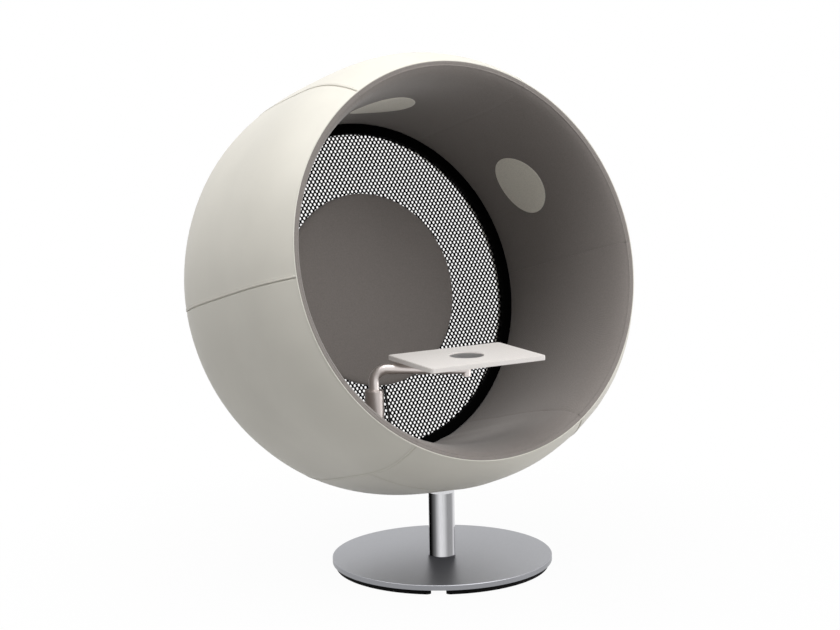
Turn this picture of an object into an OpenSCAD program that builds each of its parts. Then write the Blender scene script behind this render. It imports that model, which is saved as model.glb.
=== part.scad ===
// Round pod chair on a swivel column: an upholstered ring with a see-through back, loudspeakers behind
// round covers, and a small table on a bent tube arm. The origin is on the floor under the column's
// centre, +Z is up, and the open front faces -Y.

/* [Base] */
// Diameter of the round floor plate
plate_d = 700; // [640:2:760]
// Thickness of the floor plate
plate_t = 16; // [12:1:24]
// Bevel round the upper edge of the floor plate
plate_bevel = 1.5; // [0.5:0.1:3]
// From the plate's edge in to the floor glides
glide_in = 11; // [6:1:30]
// Radial width of a glide
glide_w = 26; // [16:1:40]
// Height of a glide
glide_h = 16; // [8:1:22]
// Clear gap between two neighbouring glides
glide_gap = 46; // [20:1:90]
// Number of glide arcs under the plate
glide_n = 2; // [2:1:6]
// Direction of the first gap between glides
glide_dir = 234; // [0:1:359]

/* [Column] */
// Outside diameter of the column tube
column_d = 84; // [78:1:92]
// Wall of the column tube
column_wall = 4; // [3:0.5:5]
// Height of the column tube above the floor plate
column_h = 236; // [200:1:280]
// How far the column reaches into the pod's wall
column_in = 31.9; // [28:0.1:36]
// Diameter of the turning spindle
spindle_d = 40; // [34:1:44]
// Radial running clearance of the spindle in its bearings
spindle_fit = 0.05; // [0.02:0.01:0.1]
// Width of each bearing
bearing_w = 16; // [10:1:20]
// Radial thickness of each bearing
bearing_t = 11; // [8:0.5:12]
// Length of the bearing housing
housing_h = 78; // [60:1:100]
// Length of the plug in the column's foot
foot_h = 40; // [25:1:60]
// Diameter of the four screws that hold the column
foot_screw_d = 12; // [8:1:14]
// Diameter of the circle of those screws
foot_screw_circle_d = 48; // [42:1:52]

/* [Pod] */
// Largest outside diameter of the pod
pod_d = 1376.8; // [1300:0.2:1450]
// Thickness of the pod's wall at the loudspeakers
wall_t = 128.4; // [124:0.2:140]
// From the pod's centre to the plane of the front seam
front_s = 378; // [370:1:388]
// From the pod's centre back to where the rear edge starts to turn in
rear_turn_s = 318; // [312:1:324]
// From the pod's centre forward to its widest place
waist_s = 77; // [60:1:95]
// How much smaller the outside radius is at the front seam
front_drop = 71.4; // [64:0.2:76]
// How much smaller the outside radius is at the rear edge
rear_drop = 54.8; // [50:0.2:58]
// Radius of the rounded rear edge
rear_lip_r = 20; // [16:1:24]
// Backward tilt of the pod
pod_tilt = 15.4; // [13:0.1:17]
// How far the pod's centre lies behind the column
pod_y = 175; // [168:1:182]
// Thickness of the outer cover with its foam
cover_t = 12; // [8:1:14]
// From the pod's centre to the cross seam under the seat
cross_seam_s = 150; // [120:1:180]
// Width of the cover's flange on the rear frame
reveal_w = 16; // [10:1:22]
// Clearance of the cover round the column
column_hole_gap = 3; // [2:0.5:6]

/* [Lining] */
// Thickness of the lining with its board
lining_t = 22; // [16:1:24]
// How much the lining narrows towards the back
lining_taper = 4; // [2:0.5:5]
// How much the lining widens towards the front
lining_flare = 21; // [18:1:24]
// From the front seam back to where the front lip starts
lip_back_s = 18; // [14:1:20]
// Height of the rounded front lip
lip_h = 23; // [21:1:26]
// From the cover's edge in to the seam of the front lip
seam_in = 3; // [2:0.5:5]
// Crown of the seat cushion
cushion_crown = 9; // [1:1:14]
// How far the cushion is drawn in along its side seams
cushion_draw = 3; // [0.5:0.5:5]

/* [Shell frame] */
// Thickness of the curved ribs
rib_t = 18; // [12:1:24]
// Angle between a rib and the nearest panel seam
rib_angle = 12; // [10:1:13]
// Thickness of the front ring frame
front_frame_t = 18; // [12:1:20]
// From the front seam back to the front ring frame
front_frame_in = 30; // [26:1:34]
// Thickness of the rear ring frame
rear_frame_t = 18; // [12:1:18]
// How far the rear ring frame reaches in past the lining's face
rear_frame_in = 26; // [24:1:30]

/* [Back] */
// From the pod's centre back to the front of the black ring
ring_s = 220; // [214:1:226]
// Clearance of the black ring inside the lining
ring_gap = 2; // [0.5:0.5:3]
// Radial width of the black ring
ring_w = 33; // [28:1:40]
// Thickness of the black ring
ring_t = 14; // [10:0.5:18]
// Thickness of the mesh
mesh_t = 2; // [1:0.5:3]
// Thickness of the clamp ring behind the mesh
clamp_t = 4; // [3:0.5:6]
// Sideways distance between neighbouring holes of a mesh row
mesh_pitch = 48; // [46:0.5:60]
// Width of the mesh webs between holes
mesh_web = 11.5; // [8:0.5:16]
// Radius of the round back pad as a share of the black ring's inner radius
pad_share = 0.6148; // [0.57:0.001:0.65]
// Thickness of the back pad at its edge
pad_edge = 7; // [5:0.5:10]
// Crown of the back pad
pad_crown = 7; // [3:0.5:12]
// From the pad's edge in to the edge of its board
board_in = 16; // [12:1:30]
// Thickness of the board behind the pad
board_t = 12; // [8:1:14]
// Radius of the bass driver behind the board
driver_r = 92; // [70:1:110]
// Depth of the bass driver
driver_h = 42; // [30:1:46]
// Radius of the cap over the bass driver
cap_r = 150; // [130:1:200]
// Wall of the cap over the bass driver
cap_wall = 3; // [2:0.5:5]
// Diameter of the thin lead on the mesh
lead_d = 4; // [3:0.5:5]
// Sideways place of the lead
lead_x = -7; // [-40:1:40]

/* [Loudspeakers] */
// Radius of the round speaker covers
speaker_r = 107; // [95:1:112]
// Forward place of the speaker covers
speaker_s = 20; // [0:1:40]
// Angle from the top cover to each side cover
speaker_angle = 61.4; // [57:0.2:64]
// Thickness of a speaker cover
speaker_cover_t = 8; // [5:1:12]
// Width of the speaker frame's flange outside the cover
speaker_flange_w = 11; // [6:1:14]
// Depth of the speaker basket
basket_h = 46; // [38:1:50]
// Radius of the speaker magnet
magnet_r = 46; // [38:1:52]
// Thickness of the speaker magnet
magnet_t = 26; // [15:1:28]
// Wall of the speaker basket and cone
basket_wall = 3; // [2:0.5:4]

/* [Table] */
// Direction round the pod in which the table post goes through the lining
post_angle = 236.88; // [236:0.01:238]
// Place along the pod's axis at which it goes through the lining
post_through_s = 158.1; // [150:0.1:166]
// Diameter of the table post
post_d = 58; // [54:1:60]
// Wall of the table post
post_wall = 4; // [3:0.5:5]
// Height of the post's top above the place where it goes through the lining
post_h = 124.2; // [110:0.1:138]
// Diameter of the bent arm tube
arm_d = 33; // [31:0.5:37]
// Wall of the arm tube
arm_wall = 3; // [2:0.5:4]
// From the post's top up to the arm's axis
arm_rise = 68; // [64:1:80]
// From the post to the hub
arm_l = 281; // [260:1:290]
// Radius of the bend, on the tube's axis
arm_bend_r = 40; // [34:1:46]
// Direction of the arm at rest
arm_dir = -36.8; // [-40:0.1:-33]
// Radial running clearance of the arm in its bushes
arm_fit = 0.05; // [0.02:0.01:0.1]
// Height of each bush in the post
bush_h = 24; // [16:1:36]
// Height of the flange of the upper bush
bush_flange = 3; // [2:0.5:5]
// Length of the arm's leg inside the post
leg_h = 99; // [90:1:110]
// Diameter of the hub at the arm's end
hub_d = 26; // [24:1:30]
// Depth of the hub below the arm's axis
hub_drop = 23; // [20:1:30]
// Clear gap between the arm and the underside of the tabletop
top_gap = 9.5; // [6:0.5:14]
// Length of the tabletop
top_l = 392; // [350:1:400]
// Width of the tabletop
top_w = 275; // [230:1:280]
// Thickness of the tabletop
top_t = 15; // [12:1:20]
// Radius of the tabletop's corners
top_corner_r = 8; // [6:1:30]
// Bevel round the tabletop's edges
top_bevel = 1.5; // [0.5:0.1:3]
// Turn of the tabletop at rest
top_dir = -4.7; // [-15:0.1:15]
// Radius of the metal disc let into the tabletop
disc_r = 53; // [45:1:60]
// Thickness of the metal disc
disc_t = 5; // [3:0.5:6]
// Depth of the disc's face below the tabletop's face
disc_recess = 3; // [1:0.5:4]
// Width of the ledge that the disc rests on
disc_ledge = 13; // [8:1:18]
// Diameter of the pivot pin
pin_d = 16; // [12:1:18]

/* [Hidden] */
$fn = 96;

// Clearance between pieces that lie against each other, and between pieces pressed together
gap = 0.3;
press = 0.03;
// How far a cutting shape runs past what it cuts
over = 1;
// Angle lost at each side of a sewn panel
seam_angle = 0.015;
panel_angle = 60;
// How the outside radius falls off towards the front and the rear, and how the lining widens
front_curve = 3.1;
rear_curve = 4;
flare_curve = 3;
// Longest straight piece in a curved profile, for the shell, the ribs and the cushion
curve_step = 23;
rib_step = 48;
cushion_step = 41;
// Angle at which the rounded rear edge ends, and the number of its pieces
lip_to = 132;
lip_n = 6;

pod_r = pod_d / 2;
lining_r = pod_r - wall_t;
lip_s = front_s - lip_back_s;
front_frame_s = front_s - front_frame_in - front_frame_t;

// Outside radius of the pod at a distance s along its axis, and its slope
function outer_r(s) = pod_r - (s > waist_s
    ? front_drop * pow((s - waist_s) / (front_s - waist_s), front_curve)
    : rear_drop * pow((waist_s - s) / (rear_turn_s + waist_s), rear_curve));
function outer_slope(s) = s > waist_s
    ? -front_drop * front_curve / (front_s - waist_s) * pow((s - waist_s) / (front_s - waist_s), front_curve - 1)
    : rear_drop * rear_curve / (rear_turn_s + waist_s) * pow((waist_s - s) / (rear_turn_s + waist_s), rear_curve - 1);
// Radius at a depth d under the outside, measured square to it
function under_r(s, d) = outer_r(s) - d * sqrt(1 + pow(outer_slope(s), 2));
// Inside radius of the lining at a distance s along the axis
function inner_r(s) = lining_r + (s > speaker_s
    ? lining_flare * pow((s - speaker_s) / (lip_s - speaker_s), flare_curve)
    : -lining_taper * pow((speaker_s - s) / (ring_s + speaker_s), 2));
function steps(s0, s1, step) = max(2, ceil(abs(s1 - s0) / step));
function outside(s0, s1, d, step) = let (n = steps(s0, s1, step))
    [for (i = [0:n]) let (s = s0 + (s1 - s0) * i / n) [under_r(s, d), s]];
function inside(s0, s1, d, step) = let (n = steps(s0, s1, step))
    [for (i = [0:n]) let (s = s0 + (s1 - s0) * i / n) [inner_r(s) + d, s]];
function backwards(list) = [for (i = [len(list) - 1:-1:0]) list[i]];

// The stack at the back, from the black ring to the rear frame
mesh_s = -ring_s - ring_t - gap;
clamp_s = mesh_s - mesh_t - gap;
rear_frame_s = clamp_s - clamp_t - gap;
rear_frame_back = rear_frame_s - rear_frame_t;
ring_r = inner_r(rear_frame_s) - ring_gap;
rear_frame_r = inner_r(rear_frame_s) - rear_frame_in;

// Half profile of the cover: the outside, the rounded rear edge, a flange on the rear frame, the inside
lip_from = atan(outer_slope(-rear_turn_s));
lip_cr = outer_r(-rear_turn_s) - rear_lip_r * cos(lip_from);
lip_cs = -rear_turn_s + rear_lip_r * sin(lip_from);
function rear_edge(r) = [for (i = [1:lip_n]) let (a = lip_from + (lip_to - lip_from) * i / lip_n)
    [lip_cr + r * cos(a), lip_cs - r * sin(a)]];
reveal_s = rear_frame_back - gap;
reveal = [[rear_frame_r + reveal_w, reveal_s - cover_t], [rear_frame_r + gap, reveal_s - cover_t],
    [rear_frame_r + gap, reveal_s], [rear_frame_r + reveal_w + cover_t / 2, reveal_s]];
turn_in_s = lip_cs - (rear_lip_r - cover_t) * sin(lip_from);
function cover_from(s) = concat(outside(s, -rear_turn_s, 0, curve_step), rear_edge(rear_lip_r), reveal,
    backwards(rear_edge(rear_lip_r - cover_t)), outside(turn_in_s, s, cover_t, curve_step));
cover_points = cover_from(front_s);
cover_rear_points = cover_from(cross_seam_s - gap / 2);
cover_front_points = concat(outside(front_s, cross_seam_s + gap / 2, 0, curve_step),
    outside(cross_seam_s + gap / 2, front_s, cover_t, curve_step));

// Half profile of the lining: the face, the rounded front lip, the edge on the cover and the back
seam_r = outer_r(front_s) - seam_in;
lining_rear = rear_frame_s + gap;
lining_front = front_frame_s + front_frame_t + gap;
lip_shares = [[0.03, 0.22], [0.11, 0.46], [0.25, 0.74], [0.45, 0.94], [0.66, 1], [0.86, 0.95], [1, 0.82]];
lip_points = [for (p = lip_shares) [inner_r(lip_s) + p[0] * (seam_r - inner_r(lip_s)), lip_s + p[1] * lip_h]];
lip_edge = [[seam_r, front_s + gap], [under_r(front_s, cover_t + gap), front_s + gap],
    [under_r(lining_front, cover_t + 2 * gap), lining_front]];
function lining_profile(step) = let (n = steps(lining_rear, lip_s, step)) concat(
    [for (i = [0:n]) let (s = lining_rear + (lip_s - lining_rear) * i / n) [inner_r(s), s]], lip_points, lip_edge,
    [for (i = [n:-1:0]) let (s = lining_rear + (lining_front - lining_rear) * i / n) [inner_r(s) + lining_t, s]]);
lining_points = lining_profile(curve_step);

// Heights. The pod hangs on the column so that the column just reaches into its wall
plate_z = glide_h + plate_t;
column_r = column_d / 2;
column_top = plate_z + column_h;
column_s = (pod_y - pod_r * sin(pod_tilt)) / cos(pod_tilt);
pod_z = column_top - column_in + pod_r * cos(pod_tilt) - column_s * sin(pod_tilt);
// Place along the pod's axis and height of a point at y, on the plane b under the axis
function plane_s(y, b) = (pod_y - y - b * sin(pod_tilt)) / cos(pod_tilt);
function plane_z(y, b) = pod_z + plane_s(y, b) * sin(pod_tilt) - b * cos(pod_tilt);

module at_pod() { translate([0, pod_y, pod_z]) rotate([90 - pod_tilt, 0, 0]) children(); }
module four_places(circle_d) { for (a = [45:90:315]) rotate([0, 0, a]) translate([circle_d / 2, 0, 0]) children(); }

// A sewn panel between two seams of the pod, which spans one sixth of the ring
module panel(points, first) {
    at_pod() rotate([0, 0, first + seam_angle])
        rotate_extrude(angle = panel_angle - 2 * seam_angle) polygon(points);
}

module ring(r_out, r_in, h) {
    difference() {
        cylinder(r = r_out, h = h);
        translate([0, 0, -over]) cylinder(r = r_in, h = h + 2 * over);
    }
}

foot_head_d = 20;
foot_head_h = 8;
bolt_fit = 0.25;
module base_plate() {
    color([0.62, 0.63, 0.66]) translate([0, 0, glide_h]) difference() {
        union() {
            cylinder(d = plate_d, h = plate_t - plate_bevel);
            translate([0, 0, plate_t - plate_bevel])
                cylinder(d1 = plate_d, d2 = plate_d - 2 * plate_bevel, h = plate_bevel);
        }
        four_places(foot_screw_circle_d) translate([0, 0, -over]) {
            cylinder(r = foot_screw_d / 2 + bolt_fit, h = plate_t + 2 * over);
            cylinder(r = foot_head_d / 2 + bolt_fit, h = foot_head_h + press + over);
        }
    }
}

module base_glides() {
    glide_r = plate_d / 2 - glide_in - glide_w / 2;
    lost = 360 * (glide_gap + glide_w) / (2 * PI * glide_r);
    color([0.05, 0.05, 0.05]) for (i = [0:glide_n - 1]) rotate([0, 0, glide_dir + i * 360 / glide_n + lost / 2]) {
        rotate_extrude(angle = 360 / glide_n - lost) translate([glide_r - glide_w / 2, 0]) square([glide_w, glide_h - press]);
        for (a = [0, 360 / glide_n - lost]) rotate([0, 0, a]) translate([glide_r, 0, 0]) cylinder(d = glide_w, h = glide_h - press);
    }
}

plug_r = column_r - column_wall - press;
module column_tube() {
    color([0.75, 0.75, 0.77]) translate([0, 0, plate_z]) ring(column_r, column_r - column_wall, column_h);
}
module column_foot() {
    color([0.45, 0.45, 0.47]) translate([0, 0, plate_z]) difference() {
        cylinder(r = plug_r, h = foot_h);
        four_places(foot_screw_circle_d) translate([0, 0, -over]) cylinder(r = foot_screw_d / 2 + press, h = foot_h + 2 * over);
    }
}
module column_screws() {
    color([0.3, 0.3, 0.32]) four_places(foot_screw_circle_d) translate([0, 0, glide_h]) {
        cylinder(d = foot_head_d, h = foot_head_h);
        cylinder(d = foot_screw_d, h = plate_t + foot_h * 0.8);
    }
}

spindle_r = spindle_d / 2;
housing_z = column_top - housing_h;
bearing_out_r = spindle_r + spindle_fit + bearing_t;
module bearing_housing() {
    color([0.5, 0.5, 0.52]) translate([0, 0, housing_z]) difference() {
        cylinder(r = plug_r, h = housing_h);
        translate([0, 0, -over]) cylinder(r = spindle_r + bearing_t / 2, h = housing_h + 2 * over);
        translate([0, 0, -over]) cylinder(r = bearing_out_r + press, h = bearing_w + press + over);
        translate([0, 0, housing_h - bearing_w - press]) cylinder(r = bearing_out_r + press, h = bearing_w + over);
    }
}
module bearing(z) {
    color([0.7, 0.7, 0.72]) translate([0, 0, z]) ring(bearing_out_r, spindle_r + spindle_fit, bearing_w);
}
module upper_bearing() { bearing(column_top - bearing_w); }
module lower_bearing() { bearing(housing_z); }

washer_t = 4;
flange_t = 11.7;
flange_r = 60;
flange_z = column_top + washer_t + gap;
nut_t = 10;
nut_r = 25;
stud_r = 15;
stud_z = housing_z - gap;
swivel_bolt_d = 10;
swivel_bolt_circle_d = 90;
bolt_head_d = 19;
bolt_head_h = 6.4;
module thrust_washer() { color([0.7, 0.6, 0.35]) translate([0, 0, column_top]) ring(column_r, spindle_r + gap, washer_t); }
module spindle() {
    color([0.55, 0.55, 0.57]) difference() {
        union() {
            translate([0, 0, flange_z]) cylinder(r = flange_r, h = flange_t);
            translate([0, 0, stud_z]) cylinder(r = spindle_r, h = flange_z + flange_t - stud_z);
            translate([0, 0, stud_z - nut_t * 1.5]) cylinder(r = stud_r, h = nut_t * 2);
        }
        four_places(swivel_bolt_circle_d) translate([0, 0, flange_z - over])
            cylinder(r = swivel_bolt_d / 2 + bolt_fit, h = flange_t + 2 * over);
    }
}
module spindle_nut() {
    color([0.4, 0.4, 0.42]) translate([0, 0, stud_z - nut_t]) difference() {
        cylinder(r = nut_r, h = nut_t, $fn = 6);
        translate([0, 0, -over]) cylinder(r = stud_r + press, h = nut_t + 2 * over);
    }
}

swivel_plate_z = flange_z + flange_t + press;
swivel_plate_t = 10;
swivel_plate_w = 176;
module swivel_plate() {
    color([0.4, 0.4, 0.42]) translate([0, 0, swivel_plate_z]) difference() {
        translate([-swivel_plate_w / 2, -swivel_plate_w / 2, 0]) cube([swivel_plate_w, swivel_plate_w, swivel_plate_t]);
        four_places(swivel_bolt_circle_d) translate([0, 0, -over])
            cylinder(r = swivel_bolt_d / 2 + bolt_fit, h = swivel_plate_t + 2 * over);
    }
}
module swivel_bolts() {
    color([0.3, 0.3, 0.32]) four_places(swivel_bolt_circle_d) {
        translate([0, 0, swivel_plate_z + swivel_plate_t + press]) cylinder(d = bolt_head_d, h = bolt_head_h, $fn = 6);
        translate([0, 0, flange_z]) cylinder(d = swivel_bolt_d, h = flange_t + swivel_plate_t + bolt_head_h / 2);
    }
}

cheek_t = 14;
cheek_x = 62;
saddle_t = 8;
saddle_over = 20;
saddle_in = 2;
saddle_r = lining_r + lining_t + saddle_in;
saddle_low = saddle_r + saddle_t + gap;
module saddle_cheeks() {
    y1 = swivel_plate_w / 2;
    z0 = swivel_plate_z + swivel_plate_t + gap;
    color([0.4, 0.4, 0.42]) for (side = [-1, 1]) translate([side * cheek_x, 0, 0])
        rotate([90, 0, 90]) translate([0, 0, -cheek_t / 2]) linear_extrude(cheek_t)
            polygon([[-y1, z0], [y1, z0], [y1, plane_z(y1, saddle_low)], [-y1, plane_z(-y1, saddle_low)]]);
}
module saddle_plate() {
    half = saddle_r * tan(panel_angle / 2 - rib_angle) - rib_t / 2 / cos(panel_angle / 2 - rib_angle) - gap;
    s0 = plane_s(swivel_plate_w / 2, saddle_low) - saddle_over;
    s1 = plane_s(-swivel_plate_w / 2, saddle_low) + saddle_over;
    color([0.4, 0.4, 0.42]) at_pod() translate([-half, -saddle_r - saddle_t, s0]) cube([2 * half, saddle_t, s1 - s0]);
}

module front_ring_frame() {
    s0 = front_frame_s;
    s1 = front_frame_s + front_frame_t;
    color([0.78, 0.62, 0.42]) at_pod() rotate_extrude() polygon(concat(
        outside(s1, s0, cover_t + 2 * gap, curve_step), inside(s0, s1, lining_t + 2 * gap, curve_step)));
}
module rear_ring_frame() {
    color([0.78, 0.62, 0.42]) at_pod() rotate_extrude() polygon(concat(
        outside(rear_frame_s, rear_frame_back, cover_t + 2 * gap, curve_step),
        [[rear_frame_r, rear_frame_back], [rear_frame_r, rear_frame_s]]));
}
module shell_ribs() {
    s0 = rear_frame_s + gap;
    s1 = front_frame_s - gap;
    color([0.78, 0.62, 0.42]) at_pod() for (i = [0:5], side = [-1, 1]) rotate([0, 0, i * panel_angle + side * rib_angle])
        rotate([90, 0, 0]) translate([0, 0, -rib_t / 2]) linear_extrude(rib_t)
            polygon(concat(outside(s1, s0, cover_t + 2 * gap, rib_step), inside(s0, s1, lining_t + 2 * gap, rib_step)));
}

module cover_color() { color([0.86, 0.86, 0.81]) children(); }
module cover_upper_right() { cover_color() panel(cover_points, 0); }
module cover_top() { cover_color() panel(cover_points, panel_angle); }
module cover_upper_left() { cover_color() panel(cover_points, 2 * panel_angle); }
module cover_lower_left() { cover_color() panel(cover_points, 3 * panel_angle); }
module cover_bottom_rear() {
    cover_color() difference() {
        panel(cover_rear_points, 4 * panel_angle);
        cylinder(r = column_r + column_hole_gap, h = column_top);
    }
}
module cover_bottom_front() { cover_color() panel(cover_front_points, 4 * panel_angle); }
module cover_lower_right() { cover_color() panel(cover_points, 5 * panel_angle); }

// Places of the three loudspeakers round the ring
speaker_dirs = [90 - speaker_angle, 90, 90 + speaker_angle];
module at_speaker(i) { at_pod() rotate([0, 0, speaker_dirs[i]]) translate([0, 0, speaker_s]) rotate([0, 90, 0]) children(); }
module round_through_lining(i, r) { at_speaker(i) translate([0, 0, lining_r / 2]) cylinder(r = r, h = lining_r); }

// The post stands upright in the wall, from a bracket between two ribs
post_r = post_d / 2;
post_x = lining_r * cos(post_angle);
post_b = lining_r * sin(post_angle);
post_y = pod_y + post_b * sin(pod_tilt) - post_through_s * cos(pod_tilt);
post_top = pod_z + post_b * cos(pod_tilt) + post_through_s * sin(pod_tilt) + post_h;
bracket_in = 7;
bracket_t = 8;
bracket_l = 150;
post_foot = 20;
bracket_r = lining_r + lining_t + bracket_in;
// Height and place along the axis where the post's axis is at a radius r
function post_z(r) = pod_z - (sqrt(r * r - post_x * post_x) + sin(pod_tilt) * (post_y - pod_y)) / cos(pod_tilt);
function post_s(r) = plane_s(post_y, sqrt(r * r - post_x * post_x));
post_low = post_z(bracket_r + post_foot);
module post_shape(r) { translate([post_x, post_y, post_low]) cylinder(r = r, h = post_top - post_low); }

module lining_color() { color([0.50, 0.48, 0.46]) children(); }
module lining_with_hole(first, i) {
    lining_color() difference() {
        panel(lining_points, first);
        round_through_lining(i, speaker_r + gap);
    }
}
module lining_upper_right() { lining_with_hole(0, 0); }
module lining_top() { lining_with_hole(panel_angle, 1); }
module lining_upper_left() { lining_with_hole(2 * panel_angle, 2); }
module lining_lower_left() {
    lining_color() difference() {
        panel(lining_points, 3 * panel_angle);
        post_shape(post_r + gap);
    }
}
module lining_lower_right() { lining_color() panel(lining_points, 5 * panel_angle); }

// The seat cushion takes the lowest sixth of the ring: crowned in the middle, drawn in along its side seams
cushion_n = 24;
cushion_points = lining_profile(cushion_step);
face_end = steps(lining_rear, lip_s, cushion_step);
crown_s = -ring_s + gap;
function along(s) = s < crown_s ? 0 : s > lip_s ? 0 : pow(sin(180 * pow((s - crown_s) / (lip_s - crown_s), 0.8)), 0.7);
function crown(s, u) = along(s) * (cushion_draw * pow(abs(u), 8) - cushion_crown * (1 - pow(abs(u), 2.2)));
module seat_cushion() {
    m = len(cushion_points);
    step = (panel_angle - 2 * seam_angle) / cushion_n;
    points = [for (j = [0:cushion_n]) let (u = 2 * j / cushion_n - 1, a = 4 * panel_angle + seam_angle + step * j)
        for (i = [0:m - 1]) let (p = cushion_points[i], r = p[0] + (i <= face_end ? crown(p[1], u) : 0))
            [r * cos(a), r * sin(a), p[1]]];
    sides = [for (j = [0:cushion_n - 1]) for (i = [0:m - 1]) let (k = (i + 1) % m, a = j * m, b = a + m)
        each [[a + i, b + i, b + k], [a + i, b + k, a + k]]];
    // Each end is a strip between the face and the back, and a fan round the corner of the lip's edge
    pivot = face_end + len(lip_shares) + 2;
    fan = concat([for (i = [pivot + 1:m - 1 - face_end]) i], [for (i = [face_end:pivot - 1]) i]);
    end = concat([for (i = [0:face_end - 1]) each [[i, i + 1, m - 2 - i], [i, m - 2 - i, m - 1 - i]]],
        [for (i = [0:len(fan) - 2]) [pivot, fan[i], fan[i + 1]]]);
    far = cushion_n * m;
    faces = concat(sides, end, [for (t = end) [far + t[0], far + t[2], far + t[1]]]);
    lining_color() difference() {
        at_pod() polyhedron(points = points, faces = faces, convexity = 6);
        post_shape(post_r + gap);
    }
}

ring_in_r = ring_r - ring_w;
pad_r = ring_in_r * pad_share;
module mesh_front_ring() {
    color([0.04, 0.04, 0.04]) at_pod() translate([0, 0, -ring_s - ring_t]) difference() {
        ring(ring_r, ring_in_r, ring_t);
        translate([lead_x, -ring_in_r + over, lead_d / 2]) rotate([90, 0, 0]) cylinder(d = lead_d + 2 * gap, h = ring_w / 2);
        translate([lead_x - lead_d / 2 - gap, -ring_in_r - ring_w / 2 + over, -over])
            cube([lead_d + 2 * gap, ring_w / 2, over + lead_d / 2]);
    }
}

mesh_row_share = 0.675;
mesh_row = mesh_pitch * mesh_row_share;
mesh_r = ring_r - ring_w / 4;
mesh_rows = ceil(mesh_r / mesh_row);
mesh_cols = ceil(mesh_r / mesh_pitch) + 1;
hole_r = (norm([mesh_pitch / 2, mesh_row]) - mesh_web) / 2;
board_r = pad_r - board_in;
mesh_in_r = board_r - board_in;
mesh_places = [for (i = [-mesh_rows:mesh_rows], j = [-mesh_cols:mesh_cols])
    let (x = (j + (i % 2 == 0 ? 0 : 0.5)) * mesh_pitch, y = i * mesh_row, r = norm([x, y]))
    if (r > pad_r + hole_r - mesh_web / 2 && r < ring_in_r - hole_r + mesh_web / 2) [x, y]];
module back_mesh() {
    color([0.05, 0.05, 0.05]) at_pod() translate([0, 0, mesh_s - mesh_t]) linear_extrude(mesh_t) difference() {
        circle(r = mesh_r);
        circle(r = mesh_in_r);
        for (p = mesh_places) translate(p) circle(r = hole_r, $fn = 24);
    }
}
module mesh_clamp_ring() {
    color([0.04, 0.04, 0.04]) at_pod() translate([0, 0, clamp_s - clamp_t]) ring(ring_r, ring_in_r, clamp_t);
}

// The round pad and its board hold the middle of the mesh between them
pad_back = mesh_s + gap;
pad_shares = [[0, 1], [0.3, 0.94], [0.55, 0.8], [0.75, 0.6], [0.88, 0.38], [0.95, 0.2]];
module back_pad() {
    color([0.42, 0.40, 0.38]) at_pod() rotate_extrude() polygon(concat([[0, pad_back]],
        [for (p = pad_shares) [p[0] * pad_r, pad_back + pad_edge + p[1] * pad_crown]],
        [[pad_r - pad_edge / 3, pad_back + pad_edge * 0.8], [pad_r, pad_back + pad_edge * 0.4], [pad_r - pad_edge / 4, pad_back]]));
}
board_front = mesh_s - mesh_t - gap;
module back_board() {
    color([0.72, 0.58, 0.4]) at_pod() difference() {
        union() {
            translate([0, 0, board_front - board_t]) cylinder(r = board_r, h = board_t);
            translate([0, 0, board_front]) cylinder(r = mesh_in_r - gap, h = mesh_t + gap);
        }
        translate([0, 0, board_front - board_t - over]) cylinder(r = driver_r * 0.7, h = board_t / 2 + over);
    }
}

driver_s = board_front - board_t - gap;
module bass_driver() {
    color([0.12, 0.12, 0.13]) at_pod() translate([0, 0, driver_s - driver_h]) {
        translate([0, 0, driver_h * 0.85]) cylinder(r = driver_r, h = driver_h * 0.15);
        translate([0, 0, driver_h * 0.4]) cylinder(r1 = driver_r * 0.66, r2 = driver_r * 0.9, h = driver_h * 0.45);
        cylinder(r = driver_r * 0.66, h = driver_h * 0.4);
    }
}
cap_h = driver_h + cap_wall + gap;
cap_shares = [[0, 1], [0.55, 1], [0.75, 0.93], [0.88, 0.74], [0.95, 0.45], [1, 0]];
module bass_driver_cap() {
    color([0.06, 0.06, 0.06]) at_pod() translate([0, 0, driver_s]) mirror([0, 0, 1]) rotate_extrude() polygon(concat(
        [for (p = cap_shares) [p[0] * cap_r, p[1] * cap_h]],
        [for (p = backwards(cap_shares)) [p[0] * (cap_r - cap_wall), p[1] * (cap_h - cap_wall)]]));
}
module bass_driver_lead() {
    color([0.03, 0.03, 0.03]) at_pod() translate([lead_x, -pad_r - gap, -ring_s - ring_t + lead_d / 2])
        rotate([90, 0, 0]) cylinder(d = lead_d, h = ring_in_r + ring_w / 3 - pad_r, $fn = 24);
}

module speaker_cover(i) {
    half = 1.2 * asin(speaker_r / lining_r);
    s0 = speaker_s - 1.1 * speaker_r;
    s1 = speaker_s + 1.1 * speaker_r;
    color([0.50, 0.49, 0.45]) intersection() {
        at_pod() rotate([0, 0, speaker_dirs[i] - half]) rotate_extrude(angle = 2 * half)
            polygon(concat(inside(s0, s1, 0, curve_step), inside(s1, s0, speaker_cover_t, curve_step)));
        round_through_lining(i, speaker_r);
    }
}
module speaker_cover_right() { speaker_cover(0); }
module speaker_cover_top() { speaker_cover(1); }
module speaker_cover_left() { speaker_cover(2); }

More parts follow.
